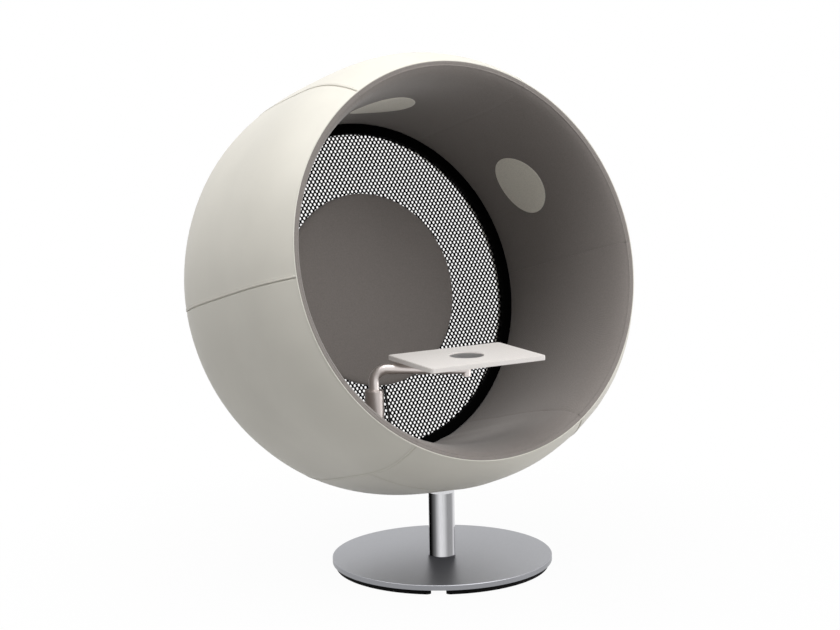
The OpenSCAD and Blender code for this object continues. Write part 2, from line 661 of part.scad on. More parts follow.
flange_x = inner_r(speaker_s + speaker_r + speaker_flange_w) + lining_t + gap;
basket_r = speaker_r * 0.88;
cone_r = basket_r - basket_wall;
neck_r = magnet_r / 2;
module speaker_frames() {
    r0 = speaker_r + speaker_flange_w;
    color([0.1, 0.1, 0.1]) for (i = [0:2]) at_speaker(i) translate([0, 0, flange_x]) rotate_extrude() polygon([
        [r0, 0], [r0, basket_wall], [basket_r + basket_wall, basket_wall], [magnet_r, basket_h], [neck_r, basket_h],
        [neck_r, basket_h - basket_wall], [magnet_r - basket_wall, basket_h - basket_wall], [basket_r, 0]]);
}
module speaker_cones() {
    deep = basket_h * 0.55;
    far = basket_h - basket_wall - gap;
    color([0.16, 0.16, 0.17]) for (i = [0:2]) at_speaker(i) translate([0, 0, flange_x]) rotate_extrude() polygon([
        [cone_r, 0], [cone_r - 2 * basket_wall, 0], [neck_r - basket_wall, deep - basket_wall], [0, deep - 2 * basket_wall],
        [0, deep - basket_wall], [neck_r, deep], [neck_r, far], [neck_r + basket_wall, far], [neck_r + basket_wall, deep],
        [cone_r - basket_wall, basket_wall]]);
}
module speaker_magnets() {
    color([0.3, 0.3, 0.32]) for (i = [0:2]) at_speaker(i) translate([0, 0, flange_x + basket_h + press])
        cylinder(r = magnet_r, h = magnet_t);
}

amp_w = 190;
amp_t = 46;
amp_l = 84;
amp_in = 10;
module amplifier_box() {
    color([0.12, 0.12, 0.13]) at_pod() translate([-amp_w / 2, -lining_r - lining_t - amp_in - amp_t, rear_frame_s + gap])
        cube([amp_w, amp_t, amp_l]);
}

module post_bracket() {
    half = bracket_r * tan(rib_angle) - rib_t / 2 / cos(rib_angle) - gap;
    color([0.4, 0.4, 0.42]) difference() {
        at_pod() rotate([0, 0, 4 * panel_angle]) translate([bracket_r, -half, post_s(bracket_r) - bracket_l / 2])
            cube([bracket_t, 2 * half, bracket_l]);
        post_shape(post_r + press);
    }
}
module table_post() {
    color([0.72, 0.68, 0.66]) difference() {
        post_shape(post_r);
        translate([0, 0, post_wall]) post_shape(post_r - post_wall);
    }
}

bush_out = post_r - post_wall - press;
bush_in = arm_d / 2 + arm_fit;
leg_low = post_top - leg_h;
module post_bushes() {
    color([0.8, 0.78, 0.75]) translate([post_x, post_y, 0]) {
        translate([0, 0, post_top - bush_h]) ring(bush_out, bush_in, bush_h);
        translate([0, 0, post_top]) ring(post_r - post_wall / 2, bush_in, bush_flange);
        translate([0, 0, leg_low + gap]) ring(bush_out, bush_in, bush_h);
        translate([0, 0, leg_low - bush_flange]) cylinder(r = bush_out, h = bush_flange);
    }
}

// The arm's tube, from its lower end up, round the bend and out to the hub
arm_z = post_top + arm_rise;
leg_run = arm_z - arm_bend_r - leg_low - gap;
module arm_sweep(r, extra) {
    translate([0, 0, -extra]) cylinder(r = r, h = leg_run + extra);
    translate([0, 0, leg_run]) {
        translate([arm_bend_r, 0, 0]) rotate([90, 0, 180]) rotate_extrude(angle = 90) translate([arm_bend_r, 0]) circle(r = r);
        translate([arm_bend_r, 0, arm_bend_r]) rotate([0, 90, 0]) cylinder(r = r, h = arm_l - arm_bend_r);
    }
}
module at_arm() { translate([post_x, post_y, 0]) rotate([0, 0, arm_dir]) children(); }
module at_hub() { at_arm() translate([arm_l, 0, 0]) children(); }
module table_arm() {
    color([0.78, 0.74, 0.72]) difference() {
        at_arm() translate([0, 0, leg_low + gap]) arm_sweep(arm_d / 2, 0);
        at_arm() translate([0, 0, leg_low + gap]) arm_sweep(arm_d / 2 - arm_wall, over);
        at_hub() translate([0, 0, arm_z - arm_d]) cylinder(r = hub_d / 2 + gap, h = 2 * arm_d);
        at_hub() translate([0, -arm_d, arm_z - arm_d]) cube([arm_d, 2 * arm_d, 2 * arm_d]);
    }
}

// The tabletop turns on a pin in the hub. Its metal disc sits on a ledge and carries a neck round the pin
top_low = arm_z + arm_d / 2 + top_gap;
top_high = top_low + top_t;
neck_gap = 1;
neck_low = top_low - top_gap + neck_gap;
hub_top = neck_low - gap;
ledge_r = disc_r - disc_ledge;
disc_low = top_high - disc_recess - disc_t;
module arm_hub() {
    color([0.85, 0.84, 0.82]) at_hub() difference() {
        translate([0, 0, arm_z - hub_drop]) cylinder(d = hub_d, h = hub_top - arm_z + hub_drop);
        translate([0, 0, hub_top - pin_d]) cylinder(r = pin_d / 2 + press, h = pin_d + over);
    }
}
module hub_pin() {
    color([0.6, 0.6, 0.62]) at_hub() translate([0, 0, hub_top - pin_d])
        cylinder(d = pin_d, h = pin_d + disc_low + disc_t / 2 - hub_top);
}
module hub_disc() {
    color([0.62, 0.62, 0.63]) at_hub() difference() {
        union() {
            translate([0, 0, disc_low]) cylinder(r = disc_r, h = disc_t);
            translate([0, 0, neck_low]) cylinder(r = ledge_r * 0.6, h = disc_low + disc_t / 2 - neck_low);
        }
        translate([0, 0, neck_low - over]) cylinder(r = pin_d / 2 + arm_fit, h = disc_low + disc_t / 2 + gap - neck_low + over);
    }
}

module rounded_slab(l, w, r, h) {
    linear_extrude(h) {
        square([l - 2 * r, w], center = true);
        square([l, w - 2 * r], center = true);
        for (x = [-1, 1], y = [-1, 1]) translate([x * (l / 2 - r), y * (w / 2 - r)]) circle(r = r);
    }
}
module tabletop() {
    color([0.9, 0.9, 0.88]) at_hub() rotate([0, 0, top_dir - arm_dir]) translate([0, 0, top_low]) difference() {
        union() {
            rounded_slab(top_l - 2 * top_bevel, top_w - 2 * top_bevel, top_corner_r - top_bevel, top_t);
            translate([0, 0, top_bevel]) rounded_slab(top_l, top_w, top_corner_r, top_t - 2 * top_bevel);
        }
        translate([0, 0, top_t - disc_recess - disc_t - gap]) cylinder(r = disc_r + gap, h = top_t);
        translate([0, 0, -over]) cylinder(r = ledge_r, h = top_t + 2 * over);
    }
}

base_plate();
base_glides();
column_tube();
column_foot();
column_screws();
bearing_housing();
upper_bearing();
lower_bearing();
thrust_washer();
spindle();
spindle_nut();
swivel_plate();
swivel_bolts();
saddle_cheeks();
saddle_plate();
front_ring_frame();
rear_ring_frame();
shell_ribs();
cover_upper_right();
cover_top();
cover_upper_left();
cover_lower_left();
cover_bottom_rear();
cover_bottom_front();
cover_lower_right();
lining_upper_right();
lining_top();
lining_upper_left();
lining_lower_left();
seat_cushion();
lining_lower_right();
mesh_front_ring();
back_mesh();
mesh_clamp_ring();
back_pad();
back_board();
bass_driver();
bass_driver_cap();
bass_driver_lead();
speaker_cover_right();
speaker_cover_top();
speaker_cover_left();
speaker_frames();
speaker_cones();
speaker_magnets();
amplifier_box();
post_bracket();
table_post();
post_bushes();
table_arm();
arm_hub();
hub_pin();
hub_disc();
tabletop();
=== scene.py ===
# %% [markdown]
# # A round pod chair with a see-through back
# The chair is a tilted upholstered ring on a swivel column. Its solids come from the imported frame, in
# metres, with +Z up and the open front towards -Y. This lesson dresses them: sewn leather panels outside,
# taupe cloth inside, a fine mesh at the back, and metal finishes on the base and the table.

# %% Load the frame
import math

import bmesh
import bpy
from mathutils import Matrix, Vector, noise


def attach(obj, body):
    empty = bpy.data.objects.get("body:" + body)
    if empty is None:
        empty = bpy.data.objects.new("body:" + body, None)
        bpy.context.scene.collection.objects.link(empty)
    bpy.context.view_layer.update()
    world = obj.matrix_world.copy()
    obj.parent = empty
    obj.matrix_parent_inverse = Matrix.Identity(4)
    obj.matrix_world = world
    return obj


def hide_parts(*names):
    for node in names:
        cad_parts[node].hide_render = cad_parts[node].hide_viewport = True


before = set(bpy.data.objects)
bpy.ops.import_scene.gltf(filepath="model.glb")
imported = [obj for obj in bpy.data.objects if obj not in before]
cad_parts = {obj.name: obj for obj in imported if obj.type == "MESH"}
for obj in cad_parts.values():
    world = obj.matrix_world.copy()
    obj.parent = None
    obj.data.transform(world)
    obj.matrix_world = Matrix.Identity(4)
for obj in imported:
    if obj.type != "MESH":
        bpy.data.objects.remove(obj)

scene = bpy.context.scene
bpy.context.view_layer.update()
print("nodes in the frame:", len(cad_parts))

# %% [markdown]
# ## The pod's own directions
# The pod is round about one tilted axis, so a radius, an angle round the ring and a distance s forward along
# the axis describe its pieces best. Two helpers turn such numbers, or flat distances, into a point of the
# frame. The other choice, an empty as a parent, would hide the real places of the pieces.

# %% Places in the pod
TILT = math.radians(15.4)
POD_RADIUS = 0.6884  # at the widest place
POD_Y = 0.175
COLUMN_TOP = 0.268
COLUMN_IN = 0.0319  # the length of column inside the cover
column_s = (POD_Y - POD_RADIUS * math.sin(TILT)) / math.cos(TILT)
POD_Z = COLUMN_TOP - COLUMN_IN + POD_RADIUS * math.cos(TILT) - column_s * math.sin(TILT)
AXIS = Vector((0, -math.cos(TILT), math.sin(TILT)))
UPWARD = Vector((0, math.sin(TILT), math.cos(TILT)))
SIDEWAYS = Vector((1, 0, 0))
CENTRE = Vector((0, POD_Y, POD_Z))


def pod_flat(a, b, s):
    """Point a metres to the right of the pod's axis, b above it and s ahead of its centre."""
    return CENTRE + SIDEWAYS * a + UPWARD * b + AXIS * s


def pod_point(radius, degrees, s):
    """Point at a radius and an angle round the pod's axis, s metres ahead."""
    angle = math.radians(degrees)
    return pod_flat(radius * math.cos(angle), radius * math.sin(angle), s)


print("the pod's centre is at", [round(v, 4) for v in CENTRE])

# %% [markdown]
# ## Two curves
# The outside swells from a tight rear edge to its widest place and closes in towards the front. The inside
# is almost a plain tube that flares at the front. Both are short formulas, so panels that are drawn from
# them stay in line where they meet.

# %% Outside and inside radius
FRONT_S = 0.378  # the front seam
WAIST_S = 0.077  # the widest place
REAR_TURN_S = 0.318  # the rear edge turns in this far behind the centre
FRONT_DROP, FRONT_POWER = 0.0714, 3.1
REAR_DROP, REAR_POWER = 0.0548, 4
LINING_RADIUS = 0.560
LIP_S = 0.360
RING_S = 0.220  # the black ring, behind the centre
SPEAKER_S = 0.020
LIP_FLARE = 0.021
RING_CLOSING = 0.004


def outer_radius(s):
    if s > WAIST_S:
        return POD_RADIUS - FRONT_DROP * ((s - WAIST_S) / (FRONT_S - WAIST_S)) ** FRONT_POWER
    return POD_RADIUS - REAR_DROP * ((WAIST_S - s) / (REAR_TURN_S + WAIST_S)) ** REAR_POWER


def outer_slope(s):
    return (outer_radius(s + 0.0005) - outer_radius(s - 0.0005)) / 0.001


def under_radius(s, depth):
    """Radius of a surface that lies a depth below the outside, measured square to it."""
    return outer_radius(s) - depth * math.sqrt(1 + outer_slope(s) ** 2)


def inner_radius(s):
    if s > SPEAKER_S:
        return LINING_RADIUS + LIP_FLARE * ((s - SPEAKER_S) / (LIP_S - SPEAKER_S)) ** 3
    return LINING_RADIUS - RING_CLOSING * ((SPEAKER_S - s) / (RING_S + SPEAKER_S)) ** 2


print("outside radius at the front seam:", round(outer_radius(FRONT_S), 4))

# %% [markdown]
# Low at each side the photo shows the outline a little fuller than the round curve. A short table by angle
# gives that extra height, which fades out towards the front seam and the widest place.

# %% Fuller lower sides
FULLER = [(-66, 0.0), (-56, 0.0025), (-48, 0.006), (-40, 0.0075), (-28, 0.0075), (-20, 0.005), (-9, 0.0)]
FULLER_PEAK = 0.1055  # the most that x ** 3 * (1 - x) reaches


def fuller(degrees, s):
    """Extra height of the cover beside the seat, the same on both sides."""
    x = (s - WAIST_S) / (FRONT_S - WAIST_S)
    if x <= 0 or x >= 1:
        return 0.0
    angle = (degrees + 180) % 360 - 180
    if abs(angle) > 90:
        angle = -180 - angle if angle < 0 else 180 - angle
    for (a0, h0), (a1, h1) in zip(FULLER, FULLER[1:]):
        if a0 <= angle <= a1:
            share = (angle - a0) / (a1 - a0)
            share = share * share * (3 - 2 * share)
            return (h0 + (h1 - h0) * share) * x ** 3 * (1 - x) / FULLER_PEAK
    return 0.0


print("extra height low at both sides, in mm:", [round(fuller(a, 0.3) * 1000, 1) for a in (-35, 215)])

# %% [markdown]
# ## Making meshes
# Almost every soft piece here is a grid: one direction runs along a profile, the other round the ring. The
# grid closes along its profile and is capped at its two ends, so each panel is a solid piece and not a bare
# sheet. A modifier could thicken a sheet, but the edges of these panels matter.

# %% Helpers for pieces
def add_piece(name, verts, faces, material, body, smooth=True):
    """Make an object of points and faces, give it a finish and let it ride on a body of the frame."""
    mesh = bpy.data.meshes.new(name)
    mesh.from_pydata([tuple(v) for v in verts], [], faces)
    mesh.validate()
    mesh.polygons.foreach_set("use_smooth", [smooth] * len(mesh.polygons))
    mesh.materials.append(material)
    piece = bpy.data.objects.new(name, mesh)
    scene.collection.objects.link(piece)
    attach(piece, body)
    return piece


def ring_faces(rows, rings, joined=False, start=0):
    """Faces between rings of rows points each. Joined rings close on the first one."""
    faces = []
    for j in range(rings if joined else rings - 1):
        here, after = start + j * rows, start + (j + 1) % rings * rows
        for i in range(rows):
            k = (i + 1) % rows
            faces.append((here + i, here + k, after + k, after + i))
    return faces


def end_faces(rows, rings, start=0):
    """The two faces that cap a row of rings."""
    last = start + (rings - 1) * rows
    return [tuple(start + i for i in reversed(range(rows))), tuple(last + i for i in range(rows))]


def fan_faces(rows, tip, start):
    """Triangles between a point and a ring of rows points."""
    return [(tip, start + k, start + (k + 1) % rows) for k in range(rows)]


def circle(radius, sides, turn=0.0):
    """Points of a circle, turned by a share of one side."""
    angles = [2 * math.pi * (k + turn) / sides for k in range(sides)]
    return [(radius * math.cos(angle), radius * math.sin(angle)) for angle in angles]


def outward(piece):
    """Turn all faces of a closed piece outwards."""
    mesh = bmesh.new()
    mesh.from_mesh(piece.data)
    bmesh.ops.recalc_face_normals(mesh, faces=mesh.faces)
    mesh.to_mesh(piece.data)
    mesh.free()
    return piece


def sharp_over(piece, degrees):
    """Shade a piece smooth, but keep edges that bend more than an angle crisp."""
    piece.data.set_sharp_from_angle(angle=math.radians(degrees))
    return piece


RING_STEPS = 240


def revolve(name, outline, material):
    """Turn an outline of (radius, s) points about the pod's axis."""
    verts = [pod_point(r, 360.0 * j / RING_STEPS, s) for j in range(RING_STEPS) for r, s in outline]
    faces = ring_faces(len(outline), RING_STEPS, joined=True)
    return outward(add_piece(name, verts, faces, material, "pod"))


print("helpers ready")

# %% [markdown]
# ## Node materials
# Each finish is a small node tree on object coordinates, so its grain has a real size in metres and needs
# no unwrapping. The helpers keep the wiring short.

# %% Material helpers
def feed(tree, socket, value):
    """Link an input to another node's output, or set it to a plain value."""
    if isinstance(value, bpy.types.NodeSocket):
        tree.links.new(value, socket)
    else:
        socket.default_value = value


def add_node(tree, kind, inputs, **settings):
    """A shader node with its settings, and with its inputs linked or set."""
    node = tree.nodes.new("ShaderNode" + kind)
    for name, value in settings.items():
        setattr(node, name, value)
    for socket, value in inputs.items():
        feed(tree, node.inputs[socket], value)
    return node


def new_finish(name, color, roughness, metallic=0.0, specular=0.5, sheen=0.0, sheen_roughness=0.5):
    """A material with its tree and shader, and the object coordinates that its patterns use."""
    material = bpy.data.materials.new(name)
    material.use_nodes = True
    tree = material.node_tree
    shader = tree.nodes["Principled BSDF"]
    values = {"Base Color": (*color, 1), "Roughness": roughness, "Metallic": metallic,
              "Specular IOR Level": specular, "Sheen Weight": sheen, "Sheen Roughness": sheen_roughness}
    for socket, value in values.items():
        feed(tree, shader.inputs[socket], value)
    return material, tree, shader, tree.nodes.new("ShaderNodeTexCoord").outputs["Object"]


def add_math(tree, operation, *values):
    return add_node(tree, "Math", dict(enumerate(values)), operation=operation).outputs[0]


def add_color_mix(tree, blend_type, factor, first, second):
    inputs = {"Factor": factor, "A": first, "B": second}
    return add_node(tree, "Mix", inputs, data_type="RGBA", blend_type=blend_type).outputs["Result"]


def add_noise(tree, where, scale, detail=3.0, stretch=(1, 1, 1)):
    """Noise of a scale in cells per metre. A factor over 1 in stretch makes it finer along that axis."""
    mapping = add_node(tree, "Mapping", {"Scale": stretch, "Vector": where})
    inputs = {"Scale": scale, "Detail": detail, "Vector": mapping.outputs["Vector"]}
    return add_node(tree, "TexNoise", inputs).outputs["Fac"]


def add_ramp(tree, factor, low, high, colors):
    """Two colours that change over between two values of a factor."""
    ramp = add_node(tree, "ValToRGB", {"Fac": factor})
    for element, position, color in zip(ramp.color_ramp.elements, (low, high), colors):
        element.position = position
        element.color = (*color, 1)
    return ramp.outputs["Color"]


def add_tones(tree, shader, factor, color, spread, low=0.3):
    """Make a shader's colour a share darker or lighter as a factor goes from low to 1 - low."""
    colors = [tuple(c * tone for c in color) for tone in (1 - spread, 1 + spread)]
    tones = add_ramp(tree, factor, low, 1 - low, colors)
    feed(tree, shader.inputs["Base Color"], tones)
    return tones


def add_bump(tree, shader, height, distance, strength, before=None):
    """Bump of a real height in metres, chained after another bump if there is one."""
    bump = add_node(tree, "Bump", {"Distance": distance, "Strength": strength, "Height": height})
    if before is not None:
        feed(tree, bump.inputs["Normal"], before)
    feed(tree, shader.inputs["Normal"], bump.outputs["Normal"])
    return bump.outputs["Normal"]


print("material helpers ready")

# %% [markdown]
# ## Leather of the outer cover
# The cover is a smooth off-white leather with a very fine grain. Its cells are a millimetre or so across,
# too small to see from far, but they soften the highlights. A slow, faint change of tone keeps the large
# panels from looking like plastic.

# %% Cover leather
COVER_COLOR = (0.672, 0.648, 0.582)
cover_leather, tree, shader, where = new_finish("cover_leather", COVER_COLOR, 0.52, specular=0.3, sheen=0.08)
add_tones(tree, shader, add_noise(tree, where, 3.5, 4), COVER_COLOR, spread=0.03, low=0.35)
grain = add_node(tree, "TexVoronoi", {"Scale": 700, "Vector": where}, feature="SMOOTH_F1")
first = add_bump(tree, shader, grain.outputs["Distance"], 0.0003, 0.25)
add_bump(tree, shader, add_noise(tree, where, 60, 3), 0.0005, 0.12, first)
print("cover leather:", COVER_COLOR)

# %% [markdown]
# ## Cloth of the lining
# Inside, the photo shows a soft taupe cloth with no gloss. Two crossed waves make the weave: the product of
# a wave along and a wave across is what a plain weave looks like. A weaker third wave helps where one of
# them hardly changes, and a wider noise gives the cloth a slight melange.

# %% Lining cloth
THREAD_HEIGHT = 0.0003


def woven(name, color, threads):
    """A woven cloth with a number of threads per metre and a real thread height."""
    look = {"specular": 0.15, "sheen": 0.35, "sheen_roughness": 0.4}
    material, tree, shader, where = new_finish(name, color, 0.85, **look)
    split = add_node(tree, "SeparateXYZ", {"Vector": where})
    waves = []
    for axis in "XYZ":
        turn = add_math(tree, "MULTIPLY", split.outputs[axis], threads * math.pi)
        waves.append(add_math(tree, "SINE", turn))
    product = add_math(tree, "MULTIPLY", waves[0], waves[2])
    total = add_math(tree, "MULTIPLY_ADD", waves[1], 0.5, product)
    add_tones(tree, shader, add_noise(tree, where, 220, 4), color, 0.07)
    first = add_bump(tree, shader, total, THREAD_HEIGHT, 0.35)
    add_bump(tree, shader, add_noise(tree, where, 25, 3), 0.0012, 0.15, first)
    return material


lining_cloth = woven("lining_cloth", (0.247, 0.224, 0.209), 700)
# The seat's cloth is the lining's cloth made a little lighter: painted light for the light the seat catches.
seat_cloth_painted_light = woven("seat_cloth_painted_light", (0.256, 0.232, 0.217), 700)
pad_cloth = woven("pad_cloth", (0.240, 0.218, 0.204), 700)
speaker_cloth = woven("speaker_cloth", (0.90, 0.87, 0.77), 900)
print("four cloths")

# %% [markdown]
# ## Coated and brushed metal
# The mesh and its ring wear a black satin coat. The plate is brushed steel: long thin noise along one
# direction changes both the tone and the surface, which stretches the highlights. Its upright edge gets a
# painted shade, a colour darker than its top's. The post and the arm have a warm satin nickel, the post's a
# darker copy that is painted shade, and the column is much smoother.

# %% Metals
def brushed(name, color, roughness, stretch, scale=60, side=None):
    """Metal with fine scratches along one direction. side darkens the colour of its upright faces: painted
    shade.
    """
    material, tree, shader, where = new_finish(name, color, roughness, metallic=1.0)
    scratches = add_noise(tree, where, scale, 4, stretch)
    tint = add_tones(tree, shader, scratches, color, 0.08)
    # Painted shade: side multiplies the colour of faces that look sideways, so an upright edge is darker than
    # a top.
    if side is not None:
        normal = tree.nodes.new("ShaderNodeNewGeometry").outputs["Normal"]
        facing = add_node(tree, "SeparateXYZ", {"Vector": normal})
        edge = add_ramp(tree, facing.outputs["Z"], 0.05, 0.4, ((side, side, side), (1, 1, 1)))
        feed(tree, shader.inputs["Base Color"], add_color_mix(tree, "MULTIPLY", 1.0, tint, edge))
    add_bump(tree, shader, scratches, 0.00005, 0.4)
    return material


def coated(name, color, roughness, bump=0.00008, shine=0.5):
    """A painted or moulded surface with a trace of texture."""
    material, tree, shader, where = new_finish(name, color, roughness, specular=shine)
    speckle = add_noise(tree, where, 900, 2)
    add_tones(tree, shader, speckle, color, 0.08)
    add_bump(tree, shader, speckle, bump, 0.4)
    return material


# side=0.72 paints shade on the plate's upright edge.
plate_steel = brushed("plate_steel", (0.385, 0.39, 0.415), 0.38, (1, 40, 40), side=0.72)
column_steel = brushed("column_steel", (0.68, 0.68, 0.70), 0.13, (30, 30, 0.6))
# The post's nickel is a darker copy of the arm's satin nickel: painted shade.
post_nickel_painted_shade = brushed("post_nickel_painted_shade", (0.56, 0.51, 0.49), 0.38, (12, 12, 12), 90)
satin_nickel = brushed("satin_nickel", (0.74, 0.685, 0.66), 0.36, (12, 12, 12), 90)
disc_aluminium = brushed("disc_aluminium", (0.53, 0.52, 0.52), 0.38, (1, 30, 30))
bronze = brushed("washer_bronze", (0.45, 0.33, 0.15), 0.4, (1, 1, 10))
black_coat = coated("black_coat", (0.0008, 0.0008, 0.0008), 0.6, shine=0.02)
glide_black = coated("glide_black", (0.003, 0.003, 0.003), 0.8, shine=0.1)
driver_black = coated("driver_black", (0.012, 0.012, 0.012), 0.55)
lead_black = coated("lead_black", (0.008, 0.008, 0.008), 0.5)
top_white = coated("top_white", (0.815, 0.78, 0.75), 0.42, 0.00004)
inner_steel = coated("inner_steel", (0.08, 0.08, 0.085), 0.5)
print("metals and coats ready")

# %% [markdown]
# ## Plywood of the frame
# The ribs and rings are hidden, but the pad's board shows from behind, so they get a wood finish, stained
# dark as upholsterers do where wood may show. Stretched noise makes the plies.

# %% Plywood
PLY_TONES = ((0.030, 0.024, 0.020), (0.060, 0.048, 0.038))
plywood, tree, shader, where = new_finish("plywood", (0.05, 0.04, 0.03), 0.6)
plies = add_noise(tree, where, 30, 5, (1, 12, 1))
feed(tree, shader.inputs["Base Color"], add_ramp(tree, plies, 0.35, 0.65, PLY_TONES))
add_bump(tree, shader, plies, 0.0003, 0.3)
print("plywood ready")

# %% [markdown]
# ## Seams
# On the real cover one panel's edge is folded under, laid over its neighbour and stitched down, which
# leaves a band about 10 mm wide that stands a little proud, with a dark step at the seam and a fine groove
# at the stitches. So each panel has a side that carries the band and a side that is tucked under.

# %% Height of the cover near its seams
BAND = 0.0105
BAND_HEIGHT = 0.0015
BAND_ROLL = 0.0016  # width of its rounding at the seam
BAND_FALL_AT, BAND_FALL = BAND - 0.002, 0.003
SEAM_DROP = 0.0024
STITCH_AT = 0.0085
GROOVE_DEPTH, GROOVE_WIDTH = 0.0013, 0.0012
TUCK_DEPTH, TUCK_WIDTH = 0.0030, 0.0032


def band_height(distance):
    """Height of a folded edge at a distance from its seam."""
    rolled = min(1.0, distance / BAND_ROLL)
    height = BAND_HEIGHT * math.sqrt(max(0.0, 1 - (1 - rolled) ** 2)) - SEAM_DROP * (1 - rolled)
    if distance > BAND_FALL_AT:
        height = BAND_HEIGHT * max(0.0, 1 - (distance - BAND_FALL_AT) / BAND_FALL)
    return height - GROOVE_DEPTH * math.exp(-(((distance - STITCH_AT) / GROOVE_WIDTH) ** 2))


def tucked_height(distance):
    """Height of the edge that lies under the band."""
    return -TUCK_DEPTH * math.exp(-((distance / TUCK_WIDTH) ** 2))


def near_to_far(length, marks, step):
    """Distances from one seam to the other: close together at both seams, wide apart between them."""
    half = [m for m in marks if m < length / 2]
    count = max(2, math.ceil((length - 2 * half[-1]) / step))
    middle = [half[-1] + (length - 2 * half[-1]) * i / count for i in range(1, count)]
    return half + middle + [length - m for m in reversed(half)]


SEAM_MARKS = [0, 0.0004, 0.0008, 0.0014, 0.0022, 0.0035, 0.0055, 0.0070, 0.0078, 0.0085, 0.0092, 0.0100,
              0.0112, 0.0128, 0.016, 0.022, 0.032]
print("marks beside a seam:", len(SEAM_MARKS))

# %% [markdown]
# ## Outline of the outer panels
# Seven leather panels: one for each sixth of the ring, and the lowest one cut in two by a cross seam. Each
# profile runs from the front seam back over the widest place, round the rear edge and in to the back
# frame, then returns along the inside of its foam.

# %% Cover profile
COVER_T = 0.012
REAR_LIP_R = 0.020  # rounding of the rear edge
REAR_LIP_END = 132  # its direction at its end, in degrees
REAR_LIP_POINTS = 12
REAR_FRAME_BACK = -0.2592
REVEAL_R = 0.5301  # the cover's opening at the back
REVEAL_EDGE = 0.002
REAR_FLAT_W = 0.016  # the flat strip inside the rear edge ends this far from the opening
FRAME_LAP = 0.022  # the cover lies on its frame over this width
OUTSIDE_STEP, INSIDE_STEP = 0.012, 0.04
COVER_MARKS = [0, 0.0008, 0.0022, 0.0055, 0.0078, 0.0085, 0.0092, 0.0112, 0.016]

turn_from = math.degrees(math.atan(outer_slope(-REAR_TURN_S)))
turn_r = outer_radius(-REAR_TURN_S) - REAR_LIP_R * math.cos(math.radians(turn_from))
turn_s = -REAR_TURN_S + REAR_LIP_R * math.sin(math.radians(turn_from))


def rear_edge(radius, count):
    angles = [math.radians(turn_from + (REAR_LIP_END - turn_from) * i / count) for i in range(1, count + 1)]
    return [(turn_r + radius * math.cos(a), turn_s - radius * math.sin(a)) for a in angles]


def along_outside(s_from, s_to, step, marks=(0,)):
    sign = 1 if s_to > s_from else -1
    return [s_from + sign * d for d in near_to_far(abs(s_to - s_from), marks, step)]


def cover_profile(s_front, s_rear=None):
    """Outline of a panel, as (radius, s, shows) points. Without s_rear it goes round the rear edge."""
    end = -REAR_TURN_S if s_rear is None else s_rear
    points = [(outer_radius(s), s, True) for s in along_outside(s_front, end, OUTSIDE_STEP, COVER_MARKS)]
    start = end
    if s_rear is None:
        turn = rear_edge(REAR_LIP_R, REAR_LIP_POINTS)
        points += [(r, s, True) for r, s in turn]
        back = REAR_FRAME_BACK - COVER_T
        r0, s0 = turn[-1]
        r1, s1 = REVEAL_R + REAR_FLAT_W, back
        points += [(r0 + (r1 - r0) * i / 5, s0 + (s1 - s0) * i / 5, True) for i in range(1, 6)]
        points += [(REVEAL_R + REVEAL_EDGE, back, True), (REVEAL_R, back + REVEAL_EDGE, False)]
        points += [(r, REAR_FRAME_BACK, False) for r in (REVEAL_R, REVEAL_R + FRAME_LAP)]
        points += [(r, s, False) for r, s in reversed(rear_edge(REAR_LIP_R - COVER_T, 4))]
        start = turn_s - (REAR_LIP_R - COVER_T) * math.sin(math.radians(turn_from))
    points += [(under_radius(s, COVER_T), s, False) for s in along_outside(start, s_front, INSIDE_STEP)]
    return points


print("points in a panel's outline:", len(cover_profile(FRONT_S)))

# %% [markdown]
# ## Sewing the panels
# A panel carries its outline from one seam to the next, with its points close together near the seams. The
# band heights are added square to the surface, and a slow noise gives the slight unevenness of foam.

# %% Sew the panels
SEAM_ANGLE = 0.015  # half the gap between two panels, in degrees
EDGE_FADE = 0.03  # the unevenness fades out over this width towards a seam
CROSS_S = 0.150  # the cross seam of the lowest panel
CROSS_GAP = 0.00015
REAR_FLAT = (-0.55, -0.83)  # the way the flat strip inside the rear edge faces
EDGES = {"band": band_height, "tuck": tucked_height}
PANELS = [
    ("cover_upper_right", 0, "band", "tuck"), ("cover_top", 60, "band", "band"),
    ("cover_upper_left", 120, "tuck", "band"), ("cover_lower_left", 180, "tuck", "band"),
    ("cover_lower_right", 300, "band", "tuck"),
]


def soften(point, scale=5.0, size=0.0012):
    """A slow, slight unevenness, as foam has under leather."""
    return size * noise.noise(point * scale)


def closed_strip(rows, columns, place):
    """Points and faces of a capped tube of columns rings with rows points each."""
    verts = [place(i, j) for j in range(columns) for i in range(rows)]
    return verts, ring_faces(rows, columns) + end_faces(rows, columns)


def cover_panel(name, first, sides, outline, cross=None):
    """One panel. sides says how it meets its neighbours, cross how it meets a cross seam."""
    arc = math.radians(60 - 2 * SEAM_ANGLE) * POD_RADIUS
    across = near_to_far(arc, SEAM_MARKS, 0.016)

    def place(i, j):
        r, s, shows = outline[i]
        d = across[j]
        degrees = first + SEAM_ANGLE + math.degrees(d / POD_RADIUS)
        if not shows:
            return pod_point(r, degrees, s)
        height = EDGES[sides[0]](d) + EDGES[sides[1]](arc - d)
        if cross:
            height += EDGES[cross](abs(s - CROSS_S))
        fade = min(1.0, d / EDGE_FADE, (arc - d) / EDGE_FADE)
        height += soften(pod_point(r, degrees, s)) * fade + fuller(degrees, s)
        if s >= -REAR_TURN_S + 0.001:
            slope = outer_slope(s)
            lean = 1 / math.sqrt(1 + slope * slope)
            return pod_point(r + height * lean, degrees, s - height * slope * lean)
        away_r, away_s = r - turn_r, s - turn_s
        length = math.hypot(away_r, away_s)
        if length > REAR_LIP_R * 1.5:
            (away_r, away_s), length = REAR_FLAT, 1.0
        return pod_point(r + height * away_r / length, degrees, s + height * away_s / length)

    verts, faces = closed_strip(len(outline), len(across), place)
    piece = outward(add_piece(name + "_leather", verts, faces, cover_leather, "pod"))
    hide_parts(name)
    return sharp_over(piece, 50)


